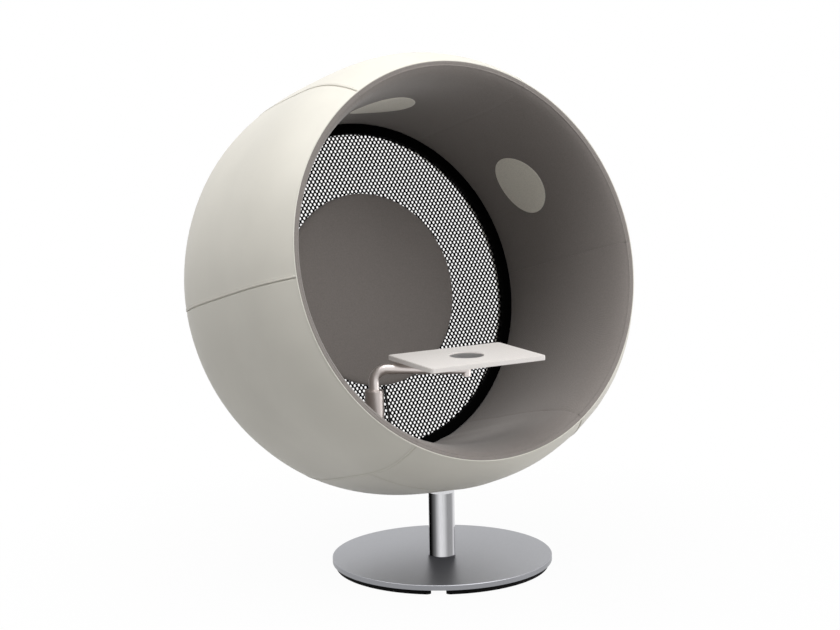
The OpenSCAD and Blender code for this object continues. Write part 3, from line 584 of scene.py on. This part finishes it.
for name, first, left, right in PANELS:
    cover_panel(name, first, (left, right), cover_profile(FRONT_S))
tucked = ("tuck", "tuck")
cover_panel("cover_bottom_front", 240, tucked, cover_profile(FRONT_S, CROSS_S + CROSS_GAP), "band")
rear_piece = cover_panel("cover_bottom_rear", 240, tucked, cover_profile(CROSS_S - CROSS_GAP), "tuck")
print("cover panels made:", len(PANELS) + 2)

# %% [markdown]
# ## The hole for the column
# The lowest panel has a round hole for the column. A boolean with a plain cylinder cuts it, and the cutter
# goes away again once the modifier is applied.

# %% Cut the column's hole
COLUMN_HOLE_R = 0.0451


def cut_with_cylinder(piece, centre, radius, low, high):
    """Cut an upright round hole through a piece and apply it."""
    cutter_mesh = bpy.data.meshes.new("cutter")
    shape = bmesh.new()
    bmesh.ops.create_cone(shape, cap_ends=True, segments=96, radius1=radius, radius2=radius, depth=high - low,
                          matrix=Matrix.Translation((centre[0], centre[1], (low + high) / 2)))
    shape.to_mesh(cutter_mesh)
    shape.free()
    cutter = bpy.data.objects.new("cutter", cutter_mesh)
    scene.collection.objects.link(cutter)
    cut = piece.modifiers.new("cut", "BOOLEAN")
    cut.operation = "DIFFERENCE"
    cut.object = cutter
    cut.solver = "EXACT"
    depsgraph = bpy.context.evaluated_depsgraph_get()
    result = bpy.data.meshes.new_from_object(piece.evaluated_get(depsgraph))
    piece.modifiers.clear()
    piece.data = result
    bpy.data.objects.remove(cutter)
    result.polygons.foreach_set("use_smooth", [True] * len(result.polygons))
    sharp_over(piece, 40)


cut_with_cylinder(rear_piece, (0, 0), COLUMN_HOLE_R, low=0.1, high=0.4)
print("faces after the cut:", len(rear_piece.data.polygons))

# %% [markdown]
# ## Stitches
# The thread is real geometry: short capsules end to end beside each seam, all in one mesh. A texture could
# draw them, but it would need an unwrap and lose their relief.

# %% Thread along the seams
STITCH_LENGTH = 0.0048
STITCH_PITCH = 0.0066
STITCH_RINGS = ((-0.5, 0.35, 0.9), (-0.32, 1, 0.1), (0.32, 1, 0.1), (0.5, 0.35, 0.9))
STITCH_SIDES = 6
THREAD_R = 0.0005
THREAD_LIFT = BAND_HEIGHT - 0.0006
SEAM_START, SEAM_LENGTH = 0.004, 0.685  # of a row of stitches, behind the front seam
CROSS_FROM, CROSS_LENGTH = 240.6, 0.70
SEAM_SIDES = [(0, 1), (60, 1), (120, -1), (180, -1), (240, -1), (300, 1)]


def add_stitch(verts, faces, middle, along, up):
    """One stitch, a six-sided capsule that dives in at its ends."""
    side = along.cross(up).normalized()
    start = len(verts)
    for t, thick, drop in STITCH_RINGS:
        for x, y in circle(THREAD_R * thick, STITCH_SIDES):
            verts.append(middle + along * (t * STITCH_LENGTH) - up * (drop * THREAD_R) + side * x + up * y)
    faces += ring_faces(STITCH_SIDES, len(STITCH_RINGS), start=start)
    faces += end_faces(STITCH_SIDES, len(STITCH_RINGS), start)


def stitch_row(verts, faces, point_at, length):
    """Stitches along a line whose point and outward direction point_at gives."""
    for i in range(int(length / STITCH_PITCH)):
        d = (i + 0.5) * STITCH_PITCH
        middle, up = point_at(d)
        ahead, _ = point_at(d + 0.001)
        add_stitch(verts, faces, middle, (ahead - middle).normalized(), up)


def seam_line(degrees, side):
    """A line along a seam of the cover, STITCH_AT to one side of it."""
    angle = degrees + side * math.degrees(STITCH_AT / POD_RADIUS)

    def at(d):
        s = FRONT_S - SEAM_START - d
        slope = outer_slope(s)
        lean = 1 / math.sqrt(1 + slope * slope)
        spoke = pod_point(1, angle, 0) - CENTRE
        up = (spoke - AXIS * slope) * lean
        return pod_point(outer_radius(s), angle, s) + up * (THREAD_LIFT + fuller(angle, s)), up

    return at


def cross_line(d):
    """The line of the cross seam."""
    angle = CROSS_FROM + math.degrees(d / POD_RADIUS)
    s = CROSS_S + STITCH_AT
    up = pod_point(1, angle, 0) - CENTRE
    return pod_point(outer_radius(s) + THREAD_LIFT, angle, s), up


thread_verts, thread_faces = [], []
for degrees, side in SEAM_SIDES:
    stitch_row(thread_verts, thread_faces, seam_line(degrees, side), SEAM_LENGTH)
stitch_row(thread_verts, thread_faces, cross_line, CROSS_LENGTH)
thread_finish = coated("thread", (0.60, 0.59, 0.52), 0.6)
outward(add_piece("cover_thread", thread_verts, thread_faces, thread_finish, "pod"))
print("stitches:", len(thread_verts) // (STITCH_SIDES * len(STITCH_RINGS)))

# %% [markdown]
# ## The welt at the front
# A thin leather welt closes the cover against the lining's lip. Its leather is a lighter copy of the
# cover's, a painted highlight that makes the bright line round the opening. It is a small circle turned
# about the pod's axis.

# %% Front welt
WELT_R = 0.0023
WELT_CENTRE = (outer_radius(FRONT_S) - 0.0010, FRONT_S + 0.0004)
# Painted highlight: the welt's leather is lighter than the cover's own colour.
welt_leather_painted_highlight = coated("welt_leather_painted_highlight", (0.71, 0.69, 0.625), 0.6, shine=0.2)
welt_outline = [(WELT_CENTRE[0] + x, WELT_CENTRE[1] + y) for x, y in circle(WELT_R, 12)]
revolve("front_welt", welt_outline, welt_leather_painted_highlight)
print("welt radius in mm:", WELT_R * 1000)

# %% [markdown]
# ## The lining
# Five padded panels and the seat cushion make the inside. Each runs from the back frame to the front,
# where it rolls over into a soft lip that meets the welt. The lip is one long curve that leaves the wall in
# the wall's own direction and ends square to it, because a tight radius would show as a separate band.

# %% Lining profile
LINING_T = 0.022
LINING_REAR = -0.2406
LINING_FRONT = 0.3483
SEAM_R = outer_radius(FRONT_S) - 0.003
SEAM_GAP = 0.0003
LIP_BACK = 0.0126  # depth of the lip's outer edge under the cover's surface
LIP_PULL = 0.55  # how far the curve's handles reach
ROLL_S = 0.280
CREST_S = 0.3805
BACK_STEP = 0.05
DRAW_W = 0.006  # the cloth is drawn in over this width beside a seam
LINING_MARKS = [0, 0.0008, 0.0018, 0.003, 0.005, 0.008, 0.012, 0.018, 0.028]


def lip_curve(count):
    """The lip, a curve from the wall's direction to square across it."""
    slope = (inner_radius(ROLL_S + 0.001) - inner_radius(ROLL_S - 0.001)) / 0.002
    start_r = inner_radius(ROLL_S)
    reach = LIP_PULL * (CREST_S - ROLL_S)
    handles = [(start_r, ROLL_S), (start_r + reach * slope, ROLL_S + reach),
               (SEAM_R - LIP_PULL * (SEAM_R - start_r), CREST_S), (SEAM_R, CREST_S)]
    points = []
    for i in range(count + 1):
        t = i / count
        weights = ((1 - t) ** 3, 3 * t * (1 - t) ** 2, 3 * t * t * (1 - t), t ** 3)
        points.append(tuple(sum(w * h[axis] for w, h in zip(weights, handles)) for axis in (0, 1)))
    return points


def lining_profile(step):
    """Outline of a lining panel, as (radius, s, shows) points."""
    count = math.ceil((ROLL_S - LINING_REAR) / step)
    face = [LINING_REAR + (ROLL_S - LINING_REAR) * i / count for i in range(count)]
    points = [(inner_radius(s), s, True) for s in face]
    points += [(r, s, True) for r, s in lip_curve(16)]
    points.append((SEAM_R, FRONT_S + SEAM_GAP, False))
    points.append((under_radius(FRONT_S, LIP_BACK), FRONT_S + SEAM_GAP, False))
    points.append((under_radius(LINING_FRONT, LIP_BACK), LINING_FRONT, False))
    back = math.ceil((LINING_FRONT - LINING_REAR) / BACK_STEP)
    for i in range(back + 1):
        s = LINING_FRONT + (LINING_REAR - LINING_FRONT) * i / back
        points.append((inner_radius(s) + LINING_T, s, False))
    return points


def lining_panel(name, first, draw=0.0004, crown=None, step=0.012, across_step=0.016):
    """One panel of the lining. crown adds a cushion's swell, as a function of s and of the place across."""
    outline = lining_profile(step)
    arc = math.radians(60 - 2 * SEAM_ANGLE) * LINING_RADIUS
    across = near_to_far(arc, LINING_MARKS, across_step)

    def place(i, j):
        r, s, shows = outline[i]
        d = across[j]
        degrees = first + SEAM_ANGLE + math.degrees(d / LINING_RADIUS)
        if not shows:
            return pod_point(r, degrees, s)
        edge = min(d, arc - d)
        depth = draw * math.exp(-((edge / DRAW_W) ** 2))
        if crown:
            depth -= crown(s, 2 * d / arc - 1)
        else:
            depth += soften(pod_point(r, degrees, s), 6.0, 0.0009) * min(1.0, edge / EDGE_FADE)
        if s > ROLL_S:
            share = min(1.0, (s - ROLL_S) / (CREST_S - ROLL_S)) ** 2
            return pod_point(r + depth * (1 - share), degrees, s - depth * share)
        return pod_point(r + depth, degrees, s)

    verts, faces = closed_strip(len(outline), len(across), place)
    # The seat gets the lighter copy of the cloth, which carries painted light.
    cloth = seat_cloth_painted_light if crown else lining_cloth
    piece = outward(add_piece(name + "_cloth", verts, faces, cloth, "pod"))
    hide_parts(name)
    return sharp_over(piece, 55)


for place, first in (("upper_right", 0), ("top", 60), ("upper_left", 120), ("lower_left", 180),
                     ("lower_right", 300)):
    lining_panel("lining_" + place, first)
print("lining panels ready")

# %% [markdown]
# ## The seat cushion
# The lowest sixth is the seat. It is thicker in the middle and flat along its two side seams. The cloth
# gathers in soft folds that start at the rear corners, spread forward and fade out.

# %% Seat cushion
SWELL = 0.0105
UNEVEN = 0.0006
REAR_RISE, FRONT_FALL = 0.012, 0.13  # the lengths over which the swell begins and ends
FOLD_LENGTH = 0.45
FOLD_START, FOLD_FADE, FOLD_WIDEN = 0.04, 0.75, 1.6  # as shares of a fold's length and width
FOLDS = [(0.50, 0.62, -0.0016, 0.050), (0.60, 0.74, 0.0016, 0.045), (0.71, 0.90, -0.0011, 0.045)]


def fan_folds(s, u):
    """Soft folds that spread forward from the seat's rear corners, the same on both sides."""
    along = (s + RING_S) / FOLD_LENGTH
    total = 0.0
    for u_rear, u_front, height, width in FOLDS:
        middle = u_rear + (u_front - u_rear) * along
        spread = width * (1 + FOLD_WIDEN * along)
        total += height * math.exp(-(((abs(u) - middle) / spread) ** 2))
    return total * math.exp(-((along / FOLD_FADE) ** 2)) * min(1.0, along / FOLD_START)


def seat_crown(s, u):
    """How far the seat stands up out of the round lining. u goes from -1 to 1 across it."""
    if s < -RING_S:
        return 0.0
    rise = min(1.0, (s + RING_S) / REAR_RISE)
    rise = math.sin(rise * math.pi / 2) ** 0.6
    fall = max(0.0, min(1.0, (CREST_S - 0.002 - s) / FRONT_FALL))
    fall = math.sin(fall * math.pi / 2)
    swell = SWELL * (1 - min(1.0, abs(u)) ** 3) ** 1.6
    slow = UNEVEN * noise.noise(Vector((s * 6, u * 2.0, 3.0)))
    return (swell + slow + fan_folds(s, u)) * rise * fall


seat = lining_panel("seat_cushion", 240, draw=0.0003, crown=seat_crown, step=0.006, across_step=0.008)
print("points in the seat:", len(seat.data.vertices))

# %% [markdown]
# ## Where the post goes in
# The table's post stands in the wall beside the seat, so the lining there and the seat's corner give way
# to it, as a fitted cut in the cloth does.

# %% Cut for the post
POST = (-0.306, -0.102)
POST_R = 0.029
POST_GAP = 0.0004
for piece in (bpy.data.objects["lining_lower_left_cloth"], seat):
    cut_with_cylinder(piece, POST, POST_R + POST_GAP, low=0.4, high=0.55)
print("post at", POST)

# %% [markdown]
# ## Round loudspeaker covers
# Three round covers of lighter cloth lie flush in the lining. Each is a disc bent to the lining's curve,
# with a rounded rim that stands just proud of it. Polar rows keep the rim a true circle.

# %% Speaker covers
SPEAKER_R = 0.107
SPEAKER_T = 0.006
SPEAKER_SIDES = 96
SPEAKER_RINGS = [0, 0.15, 0.3, 0.45, 0.6, 0.75, 0.86, 0.93, 0.965, 0.985, 0.996, 1.0]
SPEAKER_HEIGHTS = [0.0010] * 8 + [0.0009, 0.0006, 0.0002, -0.0008]


def speaker_disc(name, degrees):
    def place(across, along, height):
        s = SPEAKER_S + along
        turn = math.degrees(math.asin(across / LINING_RADIUS))
        return pod_point(inner_radius(s) - height, degrees + turn, s)

    verts = [place(0, 0, SPEAKER_HEIGHTS[0])]
    for ring, height in zip(SPEAKER_RINGS[1:] + [1.0], SPEAKER_HEIGHTS[1:] + [-SPEAKER_T]):
        verts += [place(x, y, height) for x, y in circle(SPEAKER_R * ring, SPEAKER_SIDES)]
    verts.append(place(0, 0, -SPEAKER_T))
    tip = len(verts) - 1
    faces = fan_faces(SPEAKER_SIDES, 0, 1) + ring_faces(SPEAKER_SIDES, len(SPEAKER_RINGS), start=1)
    faces += fan_faces(SPEAKER_SIDES, tip, tip - SPEAKER_SIDES)
    piece = outward(add_piece(name + "_cloth", verts, faces, speaker_cloth, "pod"))
    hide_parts(name)


for side, degrees in (("right", 28.6), ("top", 90), ("left", 151.4)):
    speaker_disc("speaker_cover_" + side, degrees)
print("speaker covers ready")

# %% [markdown]
# ## The mesh
# The back is a black net with thousands of upright oval holes in staggered rows. One cell with a hole is
# repeated like a wall of bricks, and the cells share their corners. That makes true holes, which a
# see-through material would only fake.

# %% Net of cells
PITCH = 0.0157
ROW = 0.0106
HOLE_W = 0.0088
HOLE_H = 0.0098
HOLE_SIDES = 10
MESH_FRONT = -0.2343
MESH_T = 0.0016
NET_IN = 0.300
NET_OUT = 0.545


def net_cells():
    """Middles of the cells, every other row moved by half a cell."""
    rows = int(NET_OUT / ROW) + 1
    columns = int(NET_OUT / PITCH) + 2
    for j in range(-rows, rows + 1):
        for i in range(-columns, columns + 1):
            a = (i + (0.5 if j % 2 else 0.0)) * PITCH
            b = j * ROW
            if NET_IN < math.hypot(a, b) < NET_OUT:
                yield a, b


def net_mesh():
    """Points and faces of the net: a front and a back of each cell, and the walls of its hole."""
    verts, faces, shared = [], [], {}

    def corner(a, b, s):
        key = (round(a * 1e5), round(b * 1e5), round(s * 1e5))
        if key not in shared:
            shared[key] = len(verts)
            verts.append(pod_flat(a, b, s))
        return shared[key]

    spokes = circle(1.0, HOLE_SIDES, 0.5)
    frame_points = []
    for x, y in spokes:
        scale = min(PITCH / 2 / max(abs(x), 1e-6), ROW / 2 / max(abs(y), 1e-6))
        frame_points.append((x * scale, y * scale))
    for a, b in net_cells():
        layers = []
        for s in (MESH_FRONT, MESH_FRONT - MESH_T):
            hole, rim = [], []
            for (x, y), (frame_x, frame_y) in zip(spokes, frame_points):
                hole.append(len(verts))
                verts.append(pod_flat(a + HOLE_W / 2 * x, b + HOLE_H / 2 * y, s))
                rim.append(corner(a + frame_x, b + frame_y, s))
            signs = ((1, 1), (-1, 1), (-1, -1), (1, -1))
            layers.append((hole, rim, [corner(a + x * PITCH / 2, b + y * ROW / 2, s) for x, y in signs]))
        for (hole, rim, corners), flip in zip(layers, (False, True)):
            for k in range(HOLE_SIDES):
                m = (k + 1) % HOLE_SIDES
                face = [hole[k], rim[k], rim[m], hole[m]]
                x0, y0 = frame_points[k]
                x1, y1 = frame_points[m]
                on_side0, on_side1 = abs(abs(x0) - PITCH / 2) < 1e-7, abs(abs(x1) - PITCH / 2) < 1e-7
                if on_side0 != on_side1:  # the rim turns a corner of the cell between these two points
                    which = (0 if y0 + y1 > 0 else 3) if x0 + x1 > 0 else (1 if y0 + y1 > 0 else 2)
                    face.insert(2, corners[which])
                faces.append(tuple(reversed(face)) if flip else tuple(face))
        for k in range(HOLE_SIDES):
            m = (k + 1) % HOLE_SIDES
            faces.append((layers[0][0][k], layers[0][0][m], layers[1][0][m], layers[1][0][k]))
    return verts, faces


net_verts, net_faces = net_mesh()
net = add_piece("back_net", net_verts, net_faces, black_coat, "pod", smooth=False)
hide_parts("back_mesh")
print("holes in the net:", sum(1 for _ in net_cells()), "faces:", len(net_faces))

# %% [markdown]
# ## The ring round the mesh
# The mesh is clamped under a flat black ring: a rectangle with rounded front corners, turned about the axis.

# %% Black ring
RING_R = 0.5535
RING_W = 0.033
RING_T = 0.014
RING_EDGE = 0.0015
ring_outline = [(RING_R - RING_W, -RING_S - RING_T), (RING_R, -RING_S - RING_T)]
for centre_r, first in ((RING_R - RING_EDGE, 0), (RING_R - RING_W + RING_EDGE, 4)):
    quarter = circle(RING_EDGE, 16)[first:first + 5]
    ring_outline += [(centre_r + x, -RING_S - RING_EDGE + y) for x, y in quarter]
ring_piece = sharp_over(revolve("mesh_ring_coated", ring_outline, black_coat), 40)
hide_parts("mesh_front_ring")
print("ring from", RING_R - RING_W, "to", RING_R)

# %% [markdown]
# ## The driver's lead
# A soft black lead hangs straight down in front of the net, from the pad's lower edge to the seat. It is a
# round rod, thicker than its solid, because in the photo it hides one whole column of holes.

# %% Lead
LEAD_X = -0.0093
LEAD_R = 0.0037
LEAD_S = MESH_FRONT + LEAD_R + 0.0002
LEAD_TOP = -0.3205
LEAD_END = -0.5310
LEAD_SIDES = 20
lead_verts = []
for b in (LEAD_TOP, LEAD_END):
    lead_verts += [pod_flat(LEAD_X + x, b, LEAD_S + y) for x, y in circle(LEAD_R, LEAD_SIDES)]
lead_faces = ring_faces(LEAD_SIDES, 2) + end_faces(LEAD_SIDES, 2)
lead = sharp_over(add_piece("driver_lead", lead_verts, lead_faces, lead_black, "pod"), 40)
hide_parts("bass_driver_lead")
print("lead", round(2000 * LEAD_R, 1), "mm thick")

# %% [markdown]
# ## The round back pad
# The pad is a flat foam disc in cloth, fullest in the middle, with a tight rounded edge where the cloth is
# pulled over its board. It is turned from a smooth curve and is bare all over.

# %% Back pad
PAD_R = 0.320
PAD_BACK = -0.2340
PAD_SIDES = 144
PAD_UNEVEN = 0.0008
PAD_BACK_RINGS = (0.996, 0.98)
PAD_SHAPE = [(0.0, 0.0140), (0.3, 0.0137), (0.55, 0.0129), (0.75, 0.0117), (0.88, 0.0104), (0.95, 0.0090),
             (0.982, 0.0068), (0.996, 0.0042), (1.0, 0.0018)]


def smooth_curve(points, parts):
    """Points on a curve through the given ones."""
    result = []
    for i in range(len(points) - 1):
        p0 = points[max(i - 1, 0)]
        p1, p2 = points[i], points[i + 1]
        p3 = points[min(i + 2, len(points) - 1)]
        for k in range(parts):
            t = k / parts
            result.append(tuple(0.5 * (2 * b + (c - a) * t + (2 * a - 5 * b + 4 * c - d) * t * t
                                       + (3 * b - a - 3 * c + d) * t ** 3)
                                for a, b, c, d in zip(p0, p1, p2, p3)))
    return result + [points[-1]]


def pad_mesh(curve):
    """Points and faces of the pad, from its middle over its rim to its flat back."""
    verts = [pod_flat(0, 0, PAD_BACK + curve[0][1])]
    for share, height in curve[1:]:
        for a, b in circle(share * PAD_R, PAD_SIDES):
            swell = PAD_UNEVEN * noise.noise(Vector((a * 7, b * 7, 1.0))) * (1 - share ** 4)
            verts.append(pod_flat(a, b, PAD_BACK + height + swell))
    for share in PAD_BACK_RINGS:
        verts += [pod_flat(a, b, PAD_BACK) for a, b in circle(share * PAD_R, PAD_SIDES)]
    faces = fan_faces(PAD_SIDES, 0, 1) + ring_faces(PAD_SIDES, len(curve) + 1, start=1)
    last = 1 + len(curve) * PAD_SIDES
    faces.append(tuple(last + k for k in range(PAD_SIDES)))
    return verts, faces


pad_verts, pad_faces = pad_mesh(smooth_curve(PAD_SHAPE, 4))
pad = outward(add_piece("back_pad_cloth", pad_verts, pad_faces, pad_cloth, "pod"))
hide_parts("back_pad")
print("pad points:", len(pad_verts))

# %% [markdown]
# ## Finishes on the solids that stay
# Every solid that keeps its shape gets its finish here, also the hidden ones, because they show when the
# chair is taken apart.

# %% Dress the solids
FINISHES = {
    plate_steel: ["base_plate"],
    column_steel: ["column_tube"],
    glide_black: ["base_glides"],
    inner_steel: ["column_foot", "column_screws", "bearing_housing", "upper_bearing", "lower_bearing",
                  "spindle", "spindle_nut", "swivel_plate", "swivel_bolts", "saddle_cheeks", "saddle_plate",
                  "post_bracket", "speaker_magnets"],
    bronze: ["thrust_washer"],
    plywood: ["front_ring_frame", "rear_ring_frame", "shell_ribs", "back_board"],
    black_coat: ["mesh_clamp_ring"],
    driver_black: ["bass_driver", "bass_driver_cap", "speaker_frames", "speaker_cones", "amplifier_box"],
    post_nickel_painted_shade: ["table_post", "hub_pin"],
    satin_nickel: ["table_arm", "arm_hub", "post_bushes"],
    disc_aluminium: ["hub_disc"],
    top_white: ["tabletop"],
}
for finish, names in FINISHES.items():
    for name in names:
        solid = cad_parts[name]
        solid.data.materials.clear()
        solid.data.materials.append(finish)
print("solids dressed:", sum(len(names) for names in FINISHES.values()))

# %% [markdown]
# ## Floor and world
# The photo has a pure white ground, so the floor and the world are white to the camera and to reflections
# by their Light Path mix. Near the base the floor's glow is a little weaker, a painted shade round the base,
# and there it also takes a faint shadow. To all other rays the floor is grey and the world a dim light.

# %% Floor and world
FLOOR_HALF = 40
FLOOR_GREY = (0.52, 0.52, 0.52)
WHITE = (1, 1, 1, 1)
WHITENESS = {"From Min": 0.4, "From Max": 1.6, "To Min": 0.965, "To Max": 1.0}
AMBIENT = 0.38
scene.view_settings.view_transform = "Standard"


def seen_directly(tree):
    """A factor that is 1 for camera, glossy and transmission rays."""
    path = tree.nodes.new("ShaderNodeLightPath").outputs
    first = add_math(tree, "MAXIMUM", path["Is Camera Ray"], path["Is Glossy Ray"])
    return add_math(tree, "MAXIMUM", first, path["Is Transmission Ray"])


def mix_shaders(tree, factor, hidden, seen, output):
    """Send one of two shaders to an output, by a factor."""
    blend = add_node(tree, "MixShader", {0: factor, 1: hidden.outputs[0], 2: seen.outputs[0]})
    feed(tree, tree.nodes[output].inputs["Surface"], blend.outputs[0])


floor_mesh = bpy.data.meshes.new("floor")
floor_corners = [(x * FLOOR_HALF, y * FLOOR_HALF, 0) for x, y in ((-1, -1), (1, -1), (1, 1), (-1, 1))]
floor_mesh.from_pydata(floor_corners, [], [(0, 1, 2, 3)])
floor = bpy.data.objects.new("floor", floor_mesh)
scene.collection.objects.link(floor)
floor_finish, tree, shader, where = new_finish("floor", FLOOR_GREY, 0.9, 0.0, 0.1)
glow = add_node(tree, "Emission", {"Color": WHITE, "Strength": 1.0})
# Painted shade: the glow falls to 0.965 of white near the base and is full white from 1.6 m away.
reach = add_node(tree, "VectorMath", {0: where}, operation="LENGTH")
whiteness = add_node(tree, "MapRange", {**WHITENESS, "Value": reach.outputs["Value"]})
share = add_math(tree, "MULTIPLY", seen_directly(tree), whiteness.outputs["Result"])
mix_shaders(tree, share, shader, glow, "Material Output")
floor_mesh.materials.append(floor_finish)

world = bpy.data.worlds.new("studio")
scene.world = world
world.use_nodes = True
tree = world.node_tree
ambient = tree.nodes["Background"]
feed(tree, ambient.inputs["Color"], WHITE)
feed(tree, ambient.inputs["Strength"], AMBIENT)
white = add_node(tree, "Background", {"Color": WHITE, "Strength": 1.0})
mix_shaders(tree, seen_directly(tree), ambient, white, "World Output")
print("floor and world ready")

# %% [markdown]
# ## Lights
# Three soft lamps stand round the chair: one above and a little to the left, a larger one high in front to
# the right, and one low at the right. They give the cover its slow fade from a bright top to a grey
# underside. Small hard lamps would draw the table's shadow on the seat.

# %% Lights
LAMPS = [
    ("top_light", (-1.4, 0.2, 4.2), (0, 0, 0.9), 3.0, 94),
    ("front_light", (1.2, -3.0, 4.7), (0, 0, 0.8), 4.4, 146),
    ("right_light", (3.6, -2.4, 1.0), (0, 0, 0.7), 2.0, 54),
]
for name, place, target, size, power in LAMPS:
    lamp_data = bpy.data.lights.new(name, "AREA")
    lamp_data.size = size
    lamp_data.energy = power
    lamp = bpy.data.objects.new(name, lamp_data)
    lamp.location = place
    lamp.rotation_mode = "QUATERNION"
    lamp.rotation_quaternion = (Vector(target) - Vector(place)).to_track_quat("-Z", "Y")
    scene.collection.objects.link(lamp)
print("lights:", len(LAMPS))

# %% [markdown]
# ## A glowing board that paints the column's reflections
# A photographer stands boards, called flags, round a chromed tube, or it would melt into the white ground.
# Here one bent board stands close round the column's left, front and right, but it glows: its tones are
# painted reflections. Inside, it goes from black on the left to white in front, then grey and white again,
# which paints the column's dark left and bright front. Outside it is dark grey, a painted reflection that
# gives the plate its dark middle. Only reflections see it: it gives no shade, and the camera does not show
# it.

# %% Glowing board of painted reflections
PAINTED_REFLECTION_TONES = [(-80, 0.0), (-61, 0.0), (-50, 0.03), (-32, 0.20), (-20, 0.62), (-8, 1.0), (0, 1.0),
              (12, 0.86), (21, 0.58), (28, 0.40), (52, 0.42), (61, 0.70), (70, 1.0)]
PAINTED_OUTSIDE_REFLECTION = (0.05, 0.05, 0.055, 1)
FLAG_R = 0.0445
FLAG_LOW, FLAG_HIGH = 0.029, 0.236
FLAG_STEPS = 60
CAMERA_SIDE = 236.2  # the camera's direction from the column, in degrees


def tone_at(degrees):
    """Glow of the board's inside, a painted reflection, at an angle from the camera's direction."""
    for (a0, t0), (a1, t1) in zip(PAINTED_REFLECTION_TONES, PAINTED_REFLECTION_TONES[1:]):
        if a0 <= degrees <= a1 + 1e-6:
            tone = t0 + (t1 - t0) * (degrees - a0) / (a1 - a0)
    return tone


flag_verts, flag_colors = [], []
for k in range(FLAG_STEPS + 1):
    degrees = PAINTED_REFLECTION_TONES[0][0] + (PAINTED_REFLECTION_TONES[-1][0] - PAINTED_REFLECTION_TONES[0][0]) * k / FLAG_STEPS
    angle = math.radians(CAMERA_SIDE + degrees)
    for z in (FLAG_LOW, FLAG_HIGH):
        flag_verts.append((FLAG_R * math.cos(angle), FLAG_R * math.sin(angle), z))
        flag_colors += [tone_at(degrees)] * 3 + [1.0]
flag_mesh = bpy.data.meshes.new("painted_reflection_board")
flag_mesh.from_pydata(flag_verts, [], [(2 * k, 2 * k + 2, 2 * k + 3, 2 * k + 1) for k in range(FLAG_STEPS)])
flag_mesh.color_attributes.new("tone", "FLOAT_COLOR", "POINT").data.foreach_set("color", flag_colors)
flag_finish = bpy.data.materials.new("painted_reflection_board")
flag_finish.use_nodes = True
flag_finish.cycles.emission_sampling = "NONE"
tree = flag_finish.node_tree
tone = add_node(tree, "Attribute", {}, attribute_name="tone")
is_inside = tree.nodes.new("ShaderNodeNewGeometry").outputs["Backfacing"]
two_sided = add_color_mix(tree, "MIX", is_inside, PAINTED_OUTSIDE_REFLECTION, tone.outputs["Color"])
# Emission, not a lamp: these glowing tones are painted reflections on the column and the plate.
glow = add_node(tree, "Emission", {"Color": two_sided})
feed(tree, tree.nodes["Material Output"].inputs["Surface"], glow.outputs[0])
flag_mesh.materials.append(flag_finish)
flag = bpy.data.objects.new("painted_reflection_board", flag_mesh)
scene.collection.objects.link(flag)
flag.visible_camera = False
flag.visible_diffuse = False
flag.visible_shadow = False
flag.visible_transmission = False
print("board ready")

# %% [markdown]
# ## Camera
# The camera was worked out from the round seams, the base and the square tabletop in the photo. It stands
# 6.5 metres away to the left and a little above, and rolls by one degree.

# %% Camera
CAMERA_PLACE = Vector((-3.4805, -5.2053, 1.8269))
LENS_MM = 86.73
right = Vector((0.8347, -0.5505, -0.0175))
forward = Vector((0.5410, 0.8254, -0.1610)).normalized()
right = (right - forward * right.dot(forward)).normalized()
camera_data = bpy.data.cameras.new("camera")
camera_data.sensor_width = 36
camera_data.lens = LENS_MM
camera_data.clip_end = 100
camera = bpy.data.objects.new("camera", camera_data)
turned = Matrix((right, right.cross(forward), -forward)).transposed()
camera.matrix_world = Matrix.Translation(CAMERA_PLACE) @ turned.to_4x4()
scene.collection.objects.link(camera)
scene.camera = camera
print("lens:", LENS_MM)
